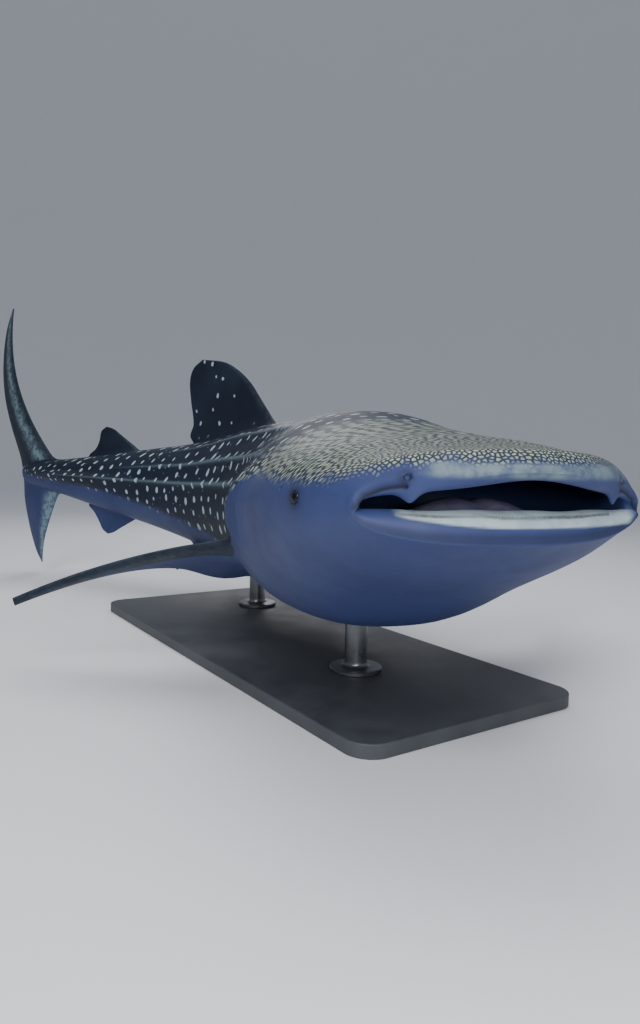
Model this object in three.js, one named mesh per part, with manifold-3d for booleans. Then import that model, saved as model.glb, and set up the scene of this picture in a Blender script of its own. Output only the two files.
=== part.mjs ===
// Whale shark, life size, in a swimming pose on a plain display stand.
// Units are millimetres. +X points to the head end, +Y to the animal's left and +Z up.
// The origin is the centre of the underside of the stand's base.
import * as THREE from 'three';
import { mergeVertices } from 'three/addons/utils/BufferGeometryUtils.js';
import Module from 'manifold-3d';

const wasm = await Module();
wasm.setup();

// Driving sizes. Sizes of the animal are shares of LENGTH, and stations are measured along the
// spine from the tip of the snout. Sizes ending in _MM are true millimetres.
const LENGTH = 7000;
const GAP_MM = 0.3;
const SNOUT_MM = [2245, -640, 960];

// Pose of the spine: heading to the left in degrees, and climb of the rearward direction.
const HEADING = curve([[0, -17.4], [0.12, -20.2], [0.25, -23.1], [0.4, -5.3], [0.55, 16.6],
  [0.68, 31.3], [0.785, 33], [0.83, 20], [0.88, 9], [0.95, 4]]);
const CLIMB = curve([[0, 0.1], [0.25, -5.1], [0.5, 1], [0.785, 4.2], [1, 4.2]]);

// Outline of the body: half width, height above the spine and depth below it. ROUNDNESS and
// CROWN are the powers that shape a ring's sides and its back.
const SIDE = curve([[0.0262, 0.0646], [0.063, 0.0791], [0.1, 0.0862], [0.15, 0.0886],
  [0.2, 0.093], [0.27, 0.0838], [0.35, 0.0731], [0.45, 0.0612], [0.55, 0.0481],
  [0.65, 0.034], [0.72, 0.026], [0.785, 0.02], [0.82, 0.0115], [0.848, 0.0035]]);
const TOP = curve([[0, 0.0238], [0.03, 0.0257], [0.06, 0.0306], [0.1, 0.0362], [0.15, 0.0463],
  [0.2, 0.0592], [0.27, 0.0682], [0.35, 0.0737], [0.45, 0.0738], [0.55, 0.058],
  [0.65, 0.0436], [0.72, 0.0313], [0.785, 0.0203], [0.82, 0.016], [0.848, 0.01]]);
const BOTTOM = curve([[0.0144, 0.0135], [0.05, 0.0315], [0.1, 0.0512], [0.15, 0.0715],
  [0.2, 0.076], [0.27, 0.0805], [0.35, 0.0782], [0.45, 0.0683], [0.55, 0.0535],
  [0.65, 0.0389], [0.72, 0.0284], [0.785, 0.0179], [0.82, 0.015], [0.848, 0.01]]);
const ROUNDNESS = curve([[0.02, 0.76], [0.05, 0.8], [0.12, 0.89]]);
const CROWN = curve([[0, 0.76], [0.05, 0.72], [0.1, 0.95], [0.16, 1.45], [0.22, 1.6], [0.3, 1.25],
  [0.45, 1.1], [0.6, 0.95]]);
const COLUMNS = 40;

// The head's rings start upright at the cheek and lean forward to the rim of the mouth.
const CHEEK = 0.1;
const MOUTH_CORNER = 0.0262;
const CHIN = 0.0144;
const LEAN = 3.2;
const NOSE_START = 0.88;
const NOSE_FALL = 0.33;
const HEAD_STEPS = [0, 0.18, 0.36, 0.52, 0.66, 0.78, 0.87, 0.93, 0.97, 1];

// Lips and mouth, from the rim inwards: station of the corner and half width, then station and
// height of the upper side, then station and depth of the lower side.
const MOUTH_RINGS = [
  [0.0262, 0.0636, 0.0015, 0.0108, 0.0137, 0.009],
  [0.0275, 0.0622, 0.0046, 0.008, 0.0153, 0.003],
  [0.0305, 0.0606, 0.01, 0.01, 0.0228, 0.0008],
  [0.038, 0.059, 0.022, 0.014, 0.03, 0.0105],
  [0.056, 0.0575, 0.045, 0.017, 0.05, 0.0165],
  [0.08, 0.054, 0.075, 0.0175, 0.078, 0.0185],
  [0.105, 0.042, 0.103, 0.015, 0.104, 0.017],
  [0.123, 0.022, 0.123, 0.009, 0.123, 0.011],
];
const LIP_ARCH = { rise: 0.0045, spread: 0.026 };
const MOUTH_END = 0.13;
const TONGUE = { station: 0.058, length: 0.056, width: 0.034, height: 0.0215, lift: -0.0175 };

// Where the body is parted, and the jaw's cut behind and above.
const NECK = 0.15;
const LOIN = 0.56;
const TAIL_END = 0.856;
const JAW_BACK = 0.075;
const JAW_TOP = -0.0006;

// Ridges along the flank: angle above the side line at the front and rear, reach and height.
const RIDGES = [
  { front: 22, rear: 7, from: 0.17, to: 0.8, height: 0.0022 },
  { front: 40, rear: 30, from: 0.17, to: 0.68, height: 0.0022 },
  { front: 62, rear: 56, from: 0.19, to: 0.6, height: 0.002 },
];
const RIDGE_SPREAD = 5;
const KEEL = { from: 0.6, peak: 0.755, to: 0.83, height: 0.0075, spread: 11 };

// Five gill flaps on each side, each with its free rear edge raised over a slit.
const GILLS = { count: 5, first: 0.1625, pitch: 0.0118, flap: 0.0092, lift: 0.002, low: -20, high: 36 };
const GILL_DEPTH_MM = 14;
const GILL_SLIT_MM = 9;

// Head details.
const EYE = { station: 0.062, height: 0.0027, radius_mm: 24, sunk_mm: 13 };
const SPIRACLE = { station: 0.0785, height: 0.0068, radius_mm: 9 };
const NOSTRIL = { station: 0.0162, across: 0.0468, height: 0.013, radius_mm: 13 };
const NASAL_FLAP = { station: 0.017, across: 0.0445, root: 0.0095, tip: 0.0042, wide_mm: 19,
  thick_mm: 6, taper: [1, 0.66, 0.3] };
const TEETH = { count: 32, reach: 62, station: 0.0185, depth: 0.0021, across: 0.059,
  height_mm: 9, radius_mm: 4, sunk_mm: 5, sides: 4 };

// Fins on the mid-line. Edges give the station of the leading and trailing edge at each share of
// the height, height is measured from the body's outline, and half is the half thickness.
const FIRST_DORSAL = {
  lead: curve([[0, 0.438], [0.16, 0.4547], [0.34, 0.4711], [0.56, 0.4903], [0.77, 0.5148],
    [0.91, 0.5384], [1, 0.57]]),
  trail: curve([[0, 0.58], [0.09, 0.5892], [0.23, 0.5825], [0.53, 0.5876], [0.78, 0.5906],
    [0.93, 0.585], [1, 0.572]]),
  height: 0.0896, half: 0.0062, up: 1 };
const SECOND_DORSAL = {
  lead: curve([[0, 0.6617], [0.33, 0.677], [0.67, 0.6924], [0.9, 0.7032], [1, 0.7125]]),
  trail: curve([[0, 0.7375], [0.08, 0.738], [0.25, 0.7285], [0.52, 0.7234], [0.88, 0.7208],
    [1, 0.7145]]),
  height: 0.0334, half: 0.0034, up: 1 };
const ANAL = {
  lead: curve([[0, 0.661], [0.25, 0.6715], [0.63, 0.6863], [0.87, 0.6953], [1, 0.703]]),
  trail: curve([[0, 0.732], [0.1, 0.735], [0.3, 0.726], [0.64, 0.7171], [0.9, 0.7115],
    [1, 0.705]]),
  height: 0.0295, half: 0.003, up: -1 };
const UPPER_LOBE = {
  lead: curve([[0, 0.77], [0.1, 0.787], [0.25, 0.812], [0.45, 0.842], [0.7, 0.876],
    [0.9, 0.902], [1, 0.914]]),
  trail: curve([[0, 0.848], [0.1, 0.854], [0.25, 0.869], [0.45, 0.89], [0.7, 0.91],
    [0.88, 0.92], [1, 0.916]]),
  height: 0.2068, half: 0.0062, up: 1, bow: 0.008, belly: 0.011 };
const LOWER_LOBE = {
  lead: curve([[0, 0.768], [0.2, 0.782], [0.5, 0.8], [0.8, 0.822], [1, 0.838]]),
  trail: curve([[0, 0.848], [0.25, 0.849], [0.5, 0.847], [0.75, 0.846], [0.9, 0.845],
    [1, 0.8395]]),
  height: 0.1185, half: 0.0052, up: -1, bow: 0.024, belly: 0 };
const FIN_SINK = -0.22;
const FIN_CHORDS = [0, 0.06, 0.2, 0.42, 0.68, 0.88, 1];
const FIN_SPANS = [FIN_SINK, 0, 0.09, 0.22, 0.4, 0.58, 0.75, 0.88, 0.96, 0.995];

// Paired fins. Edges give the offset behind the root along the animal, at each share of span.
const PECTORAL = {
  lead: curve([[0, 0], [0.25, 0.017], [0.5, 0.041], [0.75, 0.068], [0.92, 0.09], [1, 0.1]]),
  trail: curve([[0, 0.08], [0.1, 0.084], [0.25, 0.077], [0.5, 0.086], [0.75, 0.096],
    [0.92, 0.107], [1, 0.107]]),
  station: 0.2073, across: 0.0865, height: -0.025, span: 0.156, half: 0.0062, pitch: 23 };
const PELVIC = {
  lead: curve([[0, 0], [0.5, 0.012], [1, 0.03]]),
  trail: curve([[0, 0.036], [0.15, 0.042], [0.4, 0.037], [0.8, 0.038], [1, 0.032]]),
  station: 0.513, across: 0.026, height: -0.05, span: 0.034, half: 0.0028, pitch: 6 };
const PAIRS = [
  { side: 'right', sign: -1, droop: 16.2, sweep: 1 },
  { side: 'left', sign: 1, droop: 1, sweep: 1.25 },
];
const PELVIC_DROOP = 48;
const UNTWIST = 1.6;

// Stand.
const BASE_MM = { long: 3000, wide: 1240, thick: 60, corner: 120, bevel: 6 };
const ROD_MM = { radius: 55, flange: 130, flange_thick: 22, fillet: 20, sides: 32, over: 420 };
const RODS = [{ name: 'stand_rod_front', station: 0.235 }, { name: 'stand_rod_rear', station: 0.47 }];

const MATERIALS = {
  skin: material(0x33445c, 0.55, 0),
  jaw: material(0xa9b6cf, 0.5, 0),
  tongue: material(0x8d93a8, 0.6, 0),
  eye: material(0x0b0d12, 0.1, 0),
  stand: material(0x3a3d42, 0.5, 0.2),
};

// Smooth curve through a few points, with the slope at each taken from its two neighbours.
function curve(points) {
  const last = points.length - 1;
  const slope = points.map((_, i) => {
    const a = points[Math.max(i - 1, 0)];
    const b = points[Math.min(i + 1, last)];
    return (b[1] - a[1]) / (b[0] - a[0]);
  });
  return (x) => {
    if (x <= points[0][0]) return points[0][1];
    if (x >= points[last][0]) return points[last][1];
    const i = points.findIndex((p) => p[0] > x) - 1;
    const width = points[i + 1][0] - points[i][0];
    const t = (x - points[i][0]) / width;
    const rise = points[i + 1][1] - points[i][1];
    const bend = t * (1 - t);
    return points[i][1] + rise * t * t * (3 - 2 * t)
      + width * bend * (slope[i] * (1 - t) - slope[i + 1] * t);
  };
}

function material(color, roughness, metalness) {
  return new THREE.MeshStandardMaterial({ color, roughness, metalness, flatShading: true });
}

// Spine: the place and directions at each station, summed from the head backwards.
const SPINE_STEPS = 400;
const SPINE = makeSpine();

function makeSpine() {
  const here = new THREE.Vector3(...SNOUT_MM);
  const list = [];
  for (let i = 0; i <= SPINE_STEPS; i += 1) {
    const s = i / SPINE_STEPS;
    const turn = THREE.MathUtils.degToRad(HEADING(s));
    const rise = THREE.MathUtils.degToRad(CLIMB(s));
    const forward = new THREE.Vector3(Math.cos(turn) * Math.cos(rise),
      Math.sin(turn) * Math.cos(rise), -Math.sin(rise));
    const left = new THREE.Vector3(-Math.sin(turn), Math.cos(turn), 0);
    const up = new THREE.Vector3().crossVectors(forward, left);
    list.push({ place: here.clone(), forward, left, up });
    here.addScaledVector(forward, -LENGTH / SPINE_STEPS);
  }
  return list;
}

// Point of the model at a station, a distance to the left and a height, all as shares.
function at(s, y, z) {
  const x = THREE.MathUtils.clamp(s, 0, 1) * SPINE_STEPS;
  const i = Math.min(Math.floor(x), SPINE_STEPS - 1);
  const mix = (key) => SPINE[i][key].clone().lerp(SPINE[i + 1][key], x - i);
  return mix('place').addScaledVector(mix('left'), y * LENGTH).addScaledVector(mix('up'), z * LENGTH)
    .addScaledVector(mix('forward'), Math.max(0, -s) * LENGTH);
}

function bump(x, from, to) {
  if (x <= from || x >= to) return 0;
  return Math.sin(Math.PI * (x - from) / (to - from)) ** 0.7;
}

// Raised relief of the skin at a station and at an angle in degrees above the side line.
function relief(s, angle) {
  let rise = 0;
  for (const ridge of RIDGES) {
    const along = (s - ridge.from) / (ridge.to - ridge.from);
    const middle = THREE.MathUtils.lerp(ridge.front, ridge.rear, THREE.MathUtils.clamp(along, 0, 1));
    rise += ridge.height * bump(s, ridge.from, ridge.to)
      * Math.exp(-(((angle - middle) / RIDGE_SPREAD) ** 2));
  }
  const keel = s < KEEL.peak
    ? THREE.MathUtils.smoothstep(s, KEEL.from, KEEL.peak)
    : 1 - THREE.MathUtils.smoothstep(s, KEEL.peak, KEEL.to);
  rise += KEEL.height * keel * Math.exp(-(((angle - RIDGES[0].rear) / KEEL.spread) ** 2));
  return rise + gillRelief(s, angle);
}

function gillRelief(s, angle) {
  const window = THREE.MathUtils.smoothstep(angle, GILLS.low - 8, GILLS.low + 4)
    * (1 - THREE.MathUtils.smoothstep(angle, GILLS.high - 4, GILLS.high + 8));
  const along = (s - GILLS.first) / GILLS.pitch + 1;
  if (along <= 0 || along > GILLS.count) return 0;
  const saw = along === Math.floor(along) ? 1 : along - Math.floor(along);
  return GILLS.lift * window * saw * saw;
}

// One ring of the body: stations and sizes of the side, the top and the bottom.
function ringPoints(ring, grow_mm = 0) {
  const points = [];
  for (let k = 0; k < COLUMNS; k += 1) {
    const turn = 2 * Math.PI * k / COLUMNS;
    const c = Math.cos(turn);
    const q = Math.sin(turn);
    const end = q > 0 ? ring.top : ring.bottom;
    const s = ring.station + (end.station - ring.station) * Math.abs(q) ** LEAN;
    const round = ROUNDNESS(s);
    const y = ring.side * Math.sign(c) * Math.abs(c) ** round;
    const arch = ring.plain && q > 0 ? LIP_ARCH.rise * Math.exp(-((y / LIP_ARCH.spread) ** 2)) : 0;
    const z = end.size * Math.sign(q) * Math.abs(q) ** (q > 0 ? CROWN(s) : round) + arch;
    const angle = THREE.MathUtils.radToDeg(Math.atan2(q, Math.abs(c)));
    const lift = (ring.plain ? 0 : relief(s, angle)) + grow_mm / LENGTH;
    const scale = 1 + lift / Math.hypot(y, z);
    points.push(at(s, y * scale, z * scale));
  }
  return points;
}

function bodyRing(s) {
  return { station: s, side: SIDE(s), top: { station: s, size: TOP(s) },
    bottom: { station: s, size: BOTTOM(s) } };
}

function headRing(r) {
  const station = CHEEK + (MOUTH_CORNER - CHEEK) * r;
  const top = CHEEK * (1 - r);
  const chin = CHEEK + (CHIN - CHEEK) * r;
  const nose = 1 - NOSE_FALL * Math.max(0, (r - NOSE_START) / (1 - NOSE_START)) ** 2;
  return { station, side: SIDE(station), top: { station: top, size: TOP(top) * nose },
    bottom: { station: chin, size: BOTTOM(chin) } };
}

function mouthRing([station, side, top, height, bottom, depth], grow = 0) {
  return { station, side: side + grow, top: { station: top, size: height + grow },
    bottom: { station: bottom, size: depth + grow }, plain: true };
}

function range(from, to, count) {
  return Array.from({ length: count + 1 }, (_, i) => from + (to - from) * i / count);
}

// Closed solid from points and triangles, with its faces turned outwards.
function solid(points, triangles) {
  const geometry = new THREE.BufferGeometry();
  geometry.setAttribute('position',
    new THREE.Float32BufferAttribute(points.flatMap((p) => [p.x, p.y, p.z]), 3));
  geometry.setIndex(triangles.flat());
  return fromGeometry(geometry);
}

function fromGeometry(source) {
  const geometry = source.clone();
  geometry.deleteAttribute('normal');
  geometry.deleteAttribute('uv');
  const merged = mergeVertices(geometry, 1e-3);
  const vertices = Float32Array.from(merged.attributes.position.array);
  let index = Uint32Array.from(merged.index.array);
  if (signedVolume(vertices, index) < 0) index = index.reverse();
  return new wasm.Manifold(new wasm.Mesh({ numProp: 3, vertProperties: vertices, triVerts: index }));
}

function signedVolume(vertices, index) {
  const corner = (i) => new THREE.Vector3().fromArray(vertices, 3 * index[i]);
  let sum = 0;
  for (let i = 0; i < index.length; i += 3) {
    sum += corner(i).dot(corner(i + 1).cross(corner(i + 2)));
  }
  return sum / 6;
}

// Solid through a row of rings of equal count, closed to a point at each end. From the ring
// point called fold on, the quads are split along their other diagonal.
function loft(rings, start, finish, fold = Infinity) {
  const count = rings[0].length;
  const points = rings.flat();
  const triangles = [];
  points.push(start, finish);
  for (let k = 0; k < count; k += 1) {
    const next = (k + 1) % count;
    triangles.push([points.length - 2, next, k]);
    for (let j = 0; j < rings.length - 1; j += 1) {
      const a = j * count;
      const b = a + count;
      if (k < fold) {
        triangles.push([a + k, a + next, b + next], [a + k, b + next, b + k]);
      } else {
        triangles.push([a + k, a + next, b + k], [a + next, b + next, b + k]);
      }
    }
    const last = (rings.length - 1) * count;
    triangles.push([points.length - 1, last + k, last + next]);
  }
  return solid(points, triangles);
}

function largest(shape) {
  return shape.decompose().sort((a, b) => b.volume() - a.volume())[0];
}

// Ball or cone placed at a point, for the eyes, pits and teeth.
function ball(center, radius, columns = 14, rows = 10) {
  const geometry = new THREE.SphereGeometry(radius, columns, rows);
  geometry.translate(center.x, center.y, center.z);
  return fromGeometry(geometry);
}

// Fin across the mid-line or at a side. place gives the point at a chord and span share.
function fin(shape, place, finish) {
  const sides = FIN_CHORDS.length - 1;
  const rings = FIN_SPANS.map((v) => {
    const lead = shape.lead(Math.max(v, 0));
    const trail = shape.trail(Math.max(v, 0));
    const half = shape.half * (1 - 0.8 * Math.max(v, 0));
    const ring = [];
    for (let k = 0; k < 2 * sides; k += 1) {
      const u = FIN_CHORDS[k <= sides ? k : 2 * sides - k];
      const foil = 1.9 * Math.sqrt(u) * (1 - u) ** 0.85 + 0.05 * (u > 0 && u < 1);
      ring.push(place(lead + (trail - lead) * u, v, (k <= sides ? 1 : -1) * half * foil));
    }
    return ring;
  });
  const middle = (ring) => ring.reduce((sum, p) => sum.add(p), new THREE.Vector3())
    .divideScalar(ring.length);
  return loft(rings, middle(rings[0]), finish ?? middle(rings[rings.length - 1]), sides);
}

function midFin(shape) {
  const outline = shape.up > 0 ? TOP : BOTTOM;
  return fin(shape, (s, v, off) => at(s, off, shape.up * (outline(s) + shape.height * v)));
}

function tailLobe(shape) {
  return fin(shape, (s, v, off) => {
    const up = Math.max(v, 0);
    const lateral = shape.bow * up * up - shape.belly * Math.sin(Math.PI * up);
    return at(s, lateral + off, shape.up * (shape.height * up + GAP_MM / LENGTH / 2));
  });
}

function pairedFin(shape, sign, droop, sweep) {
  const down = THREE.MathUtils.degToRad(droop);
  const tilt = THREE.MathUtils.degToRad(shape.pitch);
  return fin(shape, (a, v, off) => {
    const back = a + shape.lead(1) * (sweep - 1) * Math.max(v, 0) ** 1.5;
    const out = shape.across + shape.span * Math.cos(down) * v + off * Math.sin(down);
    const fall = v > 0 ? v ** 1.4 : v;
    const twist = tilt * (1 - Math.max(v, 0)) ** UNTWIST;
    const drop = shape.span * Math.sin(down) * fall
      + (a - shape.lead(Math.max(v, 0))) * Math.sin(twist);
    return at(shape.station + back, sign * out, shape.height - drop + off * Math.cos(down));
  });
}

// Whole outer body without the mouth, slightly grown, which cuts the fins and rods to length.
function bodyCutter() {
  const head = [...HEAD_STEPS].reverse().map((r) => ringPoints(headRing(r), 0.5));
  const body = TORSO_STATIONS.concat(TAIL_STATIONS).map((s) => ringPoints(bodyRing(s), 0.5));
  return loft([...head, ...body], at(CHIN, 0, -0.002), at(TAIL_END, 0, 0));
}

const GILL_EDGES = range(1, GILLS.count, GILLS.count - 1).map(
  (k) => GILLS.first + GILLS.pitch * (k - 1));
const HALF_GAP = GAP_MM / LENGTH / 2;
const TORSO_STATIONS = [NECK + HALF_GAP,
  ...GILL_EDGES.flatMap((s) => [s - GILLS.pitch + 0.0012, s]),
  0.222, 0.24, 0.26, 0.28, 0.305, 0.33, 0.36, 0.39, 0.42, 0.45, 0.48, 0.51, 0.535, LOIN - HALF_GAP];
const TAIL_STATIONS = [LOIN + HALF_GAP, 0.585, 0.61, 0.635, 0.66, 0.685, 0.71, 0.735, 0.755,
  0.775, 0.79, 0.805, 0.82, 0.835, 0.848];

function headSolid() {
  const outer = [NECK - HALF_GAP, 0.135, 0.118].map((s) => ringPoints(bodyRing(s)));
  const face = HEAD_STEPS.map((r) => ringPoints(headRing(r)));
  const inner = MOUTH_RINGS.map((row) => ringPoints(mouthRing(row)));
  return loft([...outer, ...face, ...inner], at(NECK - HALF_GAP, 0, 0), at(MOUTH_END, 0, 0));
}

function mirrored(make) {
  return [-1, 1].map((sign) => make(sign));
}

function nasalFlap(sign) {
  const { station, across, root, tip, wide_mm: wide, thick_mm: thick, taper } = NASAL_FLAP;
  const rings = taper.map((scale, i) => range(0, 7, 7).map((k) => {
    const turn = Math.PI * k / 4;
    return at(station + thick / LENGTH * Math.sin(turn),
      sign * across + wide * scale / LENGTH * Math.cos(turn), root + (tip - root) * i / 2);
  }));
  return loft(rings, at(station, sign * across, root),
    at(station, sign * across, tip - thick / LENGTH / 2));
}

function toothRow() {
  const shapes = [];
  for (let i = 0; i < TEETH.count; i += 1) {
    const turn = THREE.MathUtils.degToRad(TEETH.reach * (2 * i / (TEETH.count - 1) - 1));
    const s = MOUTH_CORNER + 0.004 + (TEETH.station - MOUTH_CORNER - 0.004) * Math.cos(turn) ** LEAN;
    const y = TEETH.across * Math.sign(turn) * Math.abs(Math.sin(turn)) ** ROUNDNESS(s);
    const root = at(s, y, -TEETH.depth * Math.cos(turn) ** ROUNDNESS(s));
    const cone = new THREE.ConeGeometry(TEETH.radius_mm, TEETH.height_mm + TEETH.sunk_mm, TEETH.sides);
    cone.rotateX(Math.PI / 2);
    cone.translate(root.x, root.y, root.z + (TEETH.height_mm - TEETH.sunk_mm) / 2);
    shapes.push(fromGeometry(cone));
  }
  return shapes;
}

// Box in the head's own directions, used to part the lower jaw.
function jawBox(grow_mm) {
  const g = grow_mm / LENGTH;
  const stations = [-0.05, JAW_BACK + g];
  const corner = (s, y, z) => {
    const near = at(CHEEK / 2, 0, 0);
    const frame = SPINE[Math.round(SPINE_STEPS * CHEEK / 2)];
    return near.addScaledVector(frame.forward, (CHEEK / 2 - s) * LENGTH)
      .addScaledVector(frame.left, y * LENGTH).addScaledVector(frame.up, z * LENGTH);
  };
  const rings = stations.map((s) => [[-0.2, -0.2], [0.2, -0.2], [0.2, JAW_TOP + g],
    [-0.2, JAW_TOP + g]].map(([y, z]) => corner(s, y, z)));
  return loft(rings, corner(stations[0], 0, -0.1), corner(stations[1], 0, -0.1));
}

function tongueSolid() {
  const rings = range(1, 9, 8).map((j) => {
    const turn = Math.PI * j / 10;
    return range(0, 15, 15).map((k) => {
      const around = Math.PI * k / 8;
      return at(TONGUE.station - TONGUE.length / 2 * Math.cos(turn),
        TONGUE.width * Math.sin(turn) * Math.cos(around),
        TONGUE.lift + TONGUE.height * Math.sin(turn) * Math.sin(around));
    });
  });
  const pad = loft(rings, at(TONGUE.station - TONGUE.length / 2, 0, TONGUE.lift),
    at(TONGUE.station + TONGUE.length / 2, 0, TONGUE.lift));
  const grow = -0.45 / LENGTH;
  const hollow = MOUTH_RINGS.slice(2).map((row) => ringPoints(mouthRing(row, grow)));
  return largest(pad.intersect(loft(hollow, at(0.02, 0, 0.002), at(MOUTH_END - 0.001, 0, 0))));
}

// Curved slab through the skin behind each slit, which parts one gill flap from the flank.
function gillSlab(index, sign, grow_mm, slit_mm) {
  const rear = GILL_EDGES[index] + slit_mm / LENGTH;
  const front = GILL_EDGES[index] - GILLS.flap - grow_mm / LENGTH;
  const low = GILLS.low + 3.5 * index - grow_mm / 6;
  const high = GILLS.high - 2 * index + grow_mm / 6;
  const inside = (GILL_DEPTH_MM + 4 * grow_mm) / LENGTH;
  const rings = range(low, high, 6).map((angle, i) => {
    const squeeze = (i === 0 || i === 6) ? 0.25 : 0;
    const from = front + GILLS.flap * squeeze;
    const to = rear;
    const turn = THREE.MathUtils.degToRad(angle);
    const edge = (s, out) => {
      const y = SIDE(s) * Math.cos(turn) ** ROUNDNESS(s);
      const size = angle > 0 ? TOP(s) : BOTTOM(s);
      const power = angle > 0 ? CROWN(s) : ROUNDNESS(s);
      const z = Math.sign(angle) * size * Math.abs(Math.sin(turn)) ** power;
      const scale = 1 + out / Math.hypot(y, z);
      return at(s, sign * y * scale, z * scale);
    };
    return [edge(from, -inside), edge(to, -inside), edge(to, 0.006), edge(from, 0.006)];
  });
  const middle = (ring) => ring.reduce((sum, p) => sum.add(p), new THREE.Vector3()).divideScalar(4);
  return loft(rings, middle(rings[0]), middle(rings[rings.length - 1]));
}

function rodSolid(station) {
  const foot = at(station, 0, 0);
  const profile = [[0, 0], [ROD_MM.flange, 0], [ROD_MM.flange, ROD_MM.flange_thick],
    [ROD_MM.radius + ROD_MM.fillet, ROD_MM.flange_thick],
    [ROD_MM.radius, ROD_MM.flange_thick + ROD_MM.fillet], [ROD_MM.radius, foot.z - ROD_MM.over],
    [0, foot.z - ROD_MM.over]].map(([r, z]) => new THREE.Vector2(r, z));
  const geometry = new THREE.LatheGeometry(profile, ROD_MM.sides);
  geometry.rotateX(Math.PI / 2);
  geometry.translate(foot.x, foot.y, BASE_MM.thick + GAP_MM);
  return fromGeometry(geometry);
}

function baseSolid() {
  const x = BASE_MM.long / 2 - BASE_MM.bevel;
  const y = BASE_MM.wide / 2 - BASE_MM.bevel;
  const r = BASE_MM.corner;
  const outline = new THREE.Shape();
  outline.moveTo(-x + r, -y);
  outline.lineTo(x - r, -y);
  outline.absarc(x - r, -y + r, r, -Math.PI / 2, 0);
  outline.absarc(x - r, y - r, r, 0, Math.PI / 2);
  outline.absarc(-x + r, y - r, r, Math.PI / 2, Math.PI);
  outline.absarc(-x + r, -y + r, r, Math.PI, 1.5 * Math.PI);
  const geometry = new THREE.ExtrudeGeometry(outline, { depth: BASE_MM.thick - 2 * BASE_MM.bevel,
    bevelThickness: BASE_MM.bevel, bevelSize: BASE_MM.bevel, bevelSegments: 1, curveSegments: 6 });
  geometry.translate(0, 0, BASE_MM.bevel);
  return fromGeometry(geometry);
}

// Named mesh, with its geometry about its own middle and placed by its position.
function piece(name, shape, look) {
  const mesh = shape.getMesh();
  const geometry = new THREE.BufferGeometry();
  geometry.setAttribute('position', new THREE.BufferAttribute(mesh.vertProperties, 3));
  geometry.setIndex(new THREE.BufferAttribute(mesh.triVerts, 1));
  geometry.computeBoundingBox();
  const middle = geometry.boundingBox.getCenter(new THREE.Vector3());
  middle.set(Math.round(middle.x), Math.round(middle.y), Math.round(middle.z));
  geometry.translate(-middle.x, -middle.y, -middle.z);
  geometry.computeVertexNormals();
  const part = new THREE.Mesh(geometry, MATERIALS[look]);
  part.name = name;
  part.position.copy(middle);
  return part;
}

function makeHead(group) {
  const eyes = mirrored((sign) => at(EYE.station,
    sign * (sideAt(EYE) - EYE.sunk_mm / LENGTH), EYE.height));
  let head = headSolid();
  mirrored((sign) => {
    head = head.subtract(ball(at(SPIRACLE.station, sign * sideAt(SPIRACLE), SPIRACLE.height),
      SPIRACLE.radius_mm));
    head = head.add(nasalFlap(sign));
    head = head.subtract(ball(at(NOSTRIL.station, sign * NOSTRIL.across, NOSTRIL.height),
      NOSTRIL.radius_mm));
  });
  eyes.forEach((center) => {
    head = head.subtract(ball(center, EYE.radius_mm + GAP_MM));
  });
  let jaw = largest(head.intersect(jawBox(0)));
  toothRow().forEach((tooth) => {
    jaw = jaw.add(tooth);
  });
  group.add(piece('head', largest(head.subtract(jawBox(GAP_MM))), 'skin'));
  group.add(piece('lower_jaw', largest(jaw), 'jaw'));
  group.add(piece('tongue', tongueSolid(), 'tongue'));
  group.add(piece('eye_right', ball(eyes[0], EYE.radius_mm), 'eye'));
  group.add(piece('eye_left', ball(eyes[1], EYE.radius_mm), 'eye'));
}

// Half width of the head at the height of a detail on its side.
function sideAt({ station, height }) {
  const share = Math.min(1, height / TOP(station)) ** (1 / CROWN(station));
  return SIDE(station) * Math.sqrt(1 - share * share) ** ROUNDNESS(station);
}

function makeTrunk(group) {
  let torso = loft(TORSO_STATIONS.map((s) => ringPoints(bodyRing(s))),
    at(TORSO_STATIONS[0], 0, 0), at(LOIN - HALF_GAP, 0, 0));
  const whole = torso;
  PAIRS.forEach(({ side, sign }) => {
    for (let i = 0; i < GILLS.count; i += 1) {
      torso = torso.subtract(gillSlab(i, sign, GAP_MM, GILL_SLIT_MM));
      const flap = largest(whole.intersect(gillSlab(i, sign, 0, 0)));
      group.add(piece(`gill_flap_${side}_${i + 1}`, flap, 'skin'));
    }
  });
  group.add(piece('torso', largest(torso), 'skin'));
  const tail = loft(TAIL_STATIONS.map((s) => ringPoints(bodyRing(s))),
    at(LOIN + HALF_GAP, 0, 0), at(TAIL_END, 0, 0));
  group.add(piece('tail_stalk', tail, 'skin'));
}

function makeFins(group, body) {
  const add = (name, shape) => group.add(piece(name, largest(shape.subtract(body)), 'skin'));
  add('first_dorsal_fin', midFin(FIRST_DORSAL));
  add('second_dorsal_fin', midFin(SECOND_DORSAL));
  add('anal_fin', midFin(ANAL));
  add('caudal_fin_upper_lobe', tailLobe(UPPER_LOBE));
  add('caudal_fin_lower_lobe', tailLobe(LOWER_LOBE));
  PAIRS.forEach(({ side, sign, droop, sweep }) => {
    add(`pectoral_fin_${side}`, pairedFin(PECTORAL, sign, droop, sweep));
    add(`pelvic_fin_${side}`, pairedFin(PELVIC, sign, PELVIC_DROOP, 1));
  });
}

function makeStand(group, body) {
  group.add(piece('stand_base', baseSolid(), 'stand'));
  RODS.forEach(({ name, station }) => {
    group.add(piece(name, largest(rodSolid(station).subtract(body)), 'stand'));
  });
}

const group = new THREE.Group();
const shark = new THREE.Group();
const stand = new THREE.Group();
const cutter = bodyCutter();
makeHead(shark);
makeTrunk(shark);
makeFins(shark, cutter);
makeStand(stand, cutter);
group.add(shark, stand);

export default group;
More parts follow.
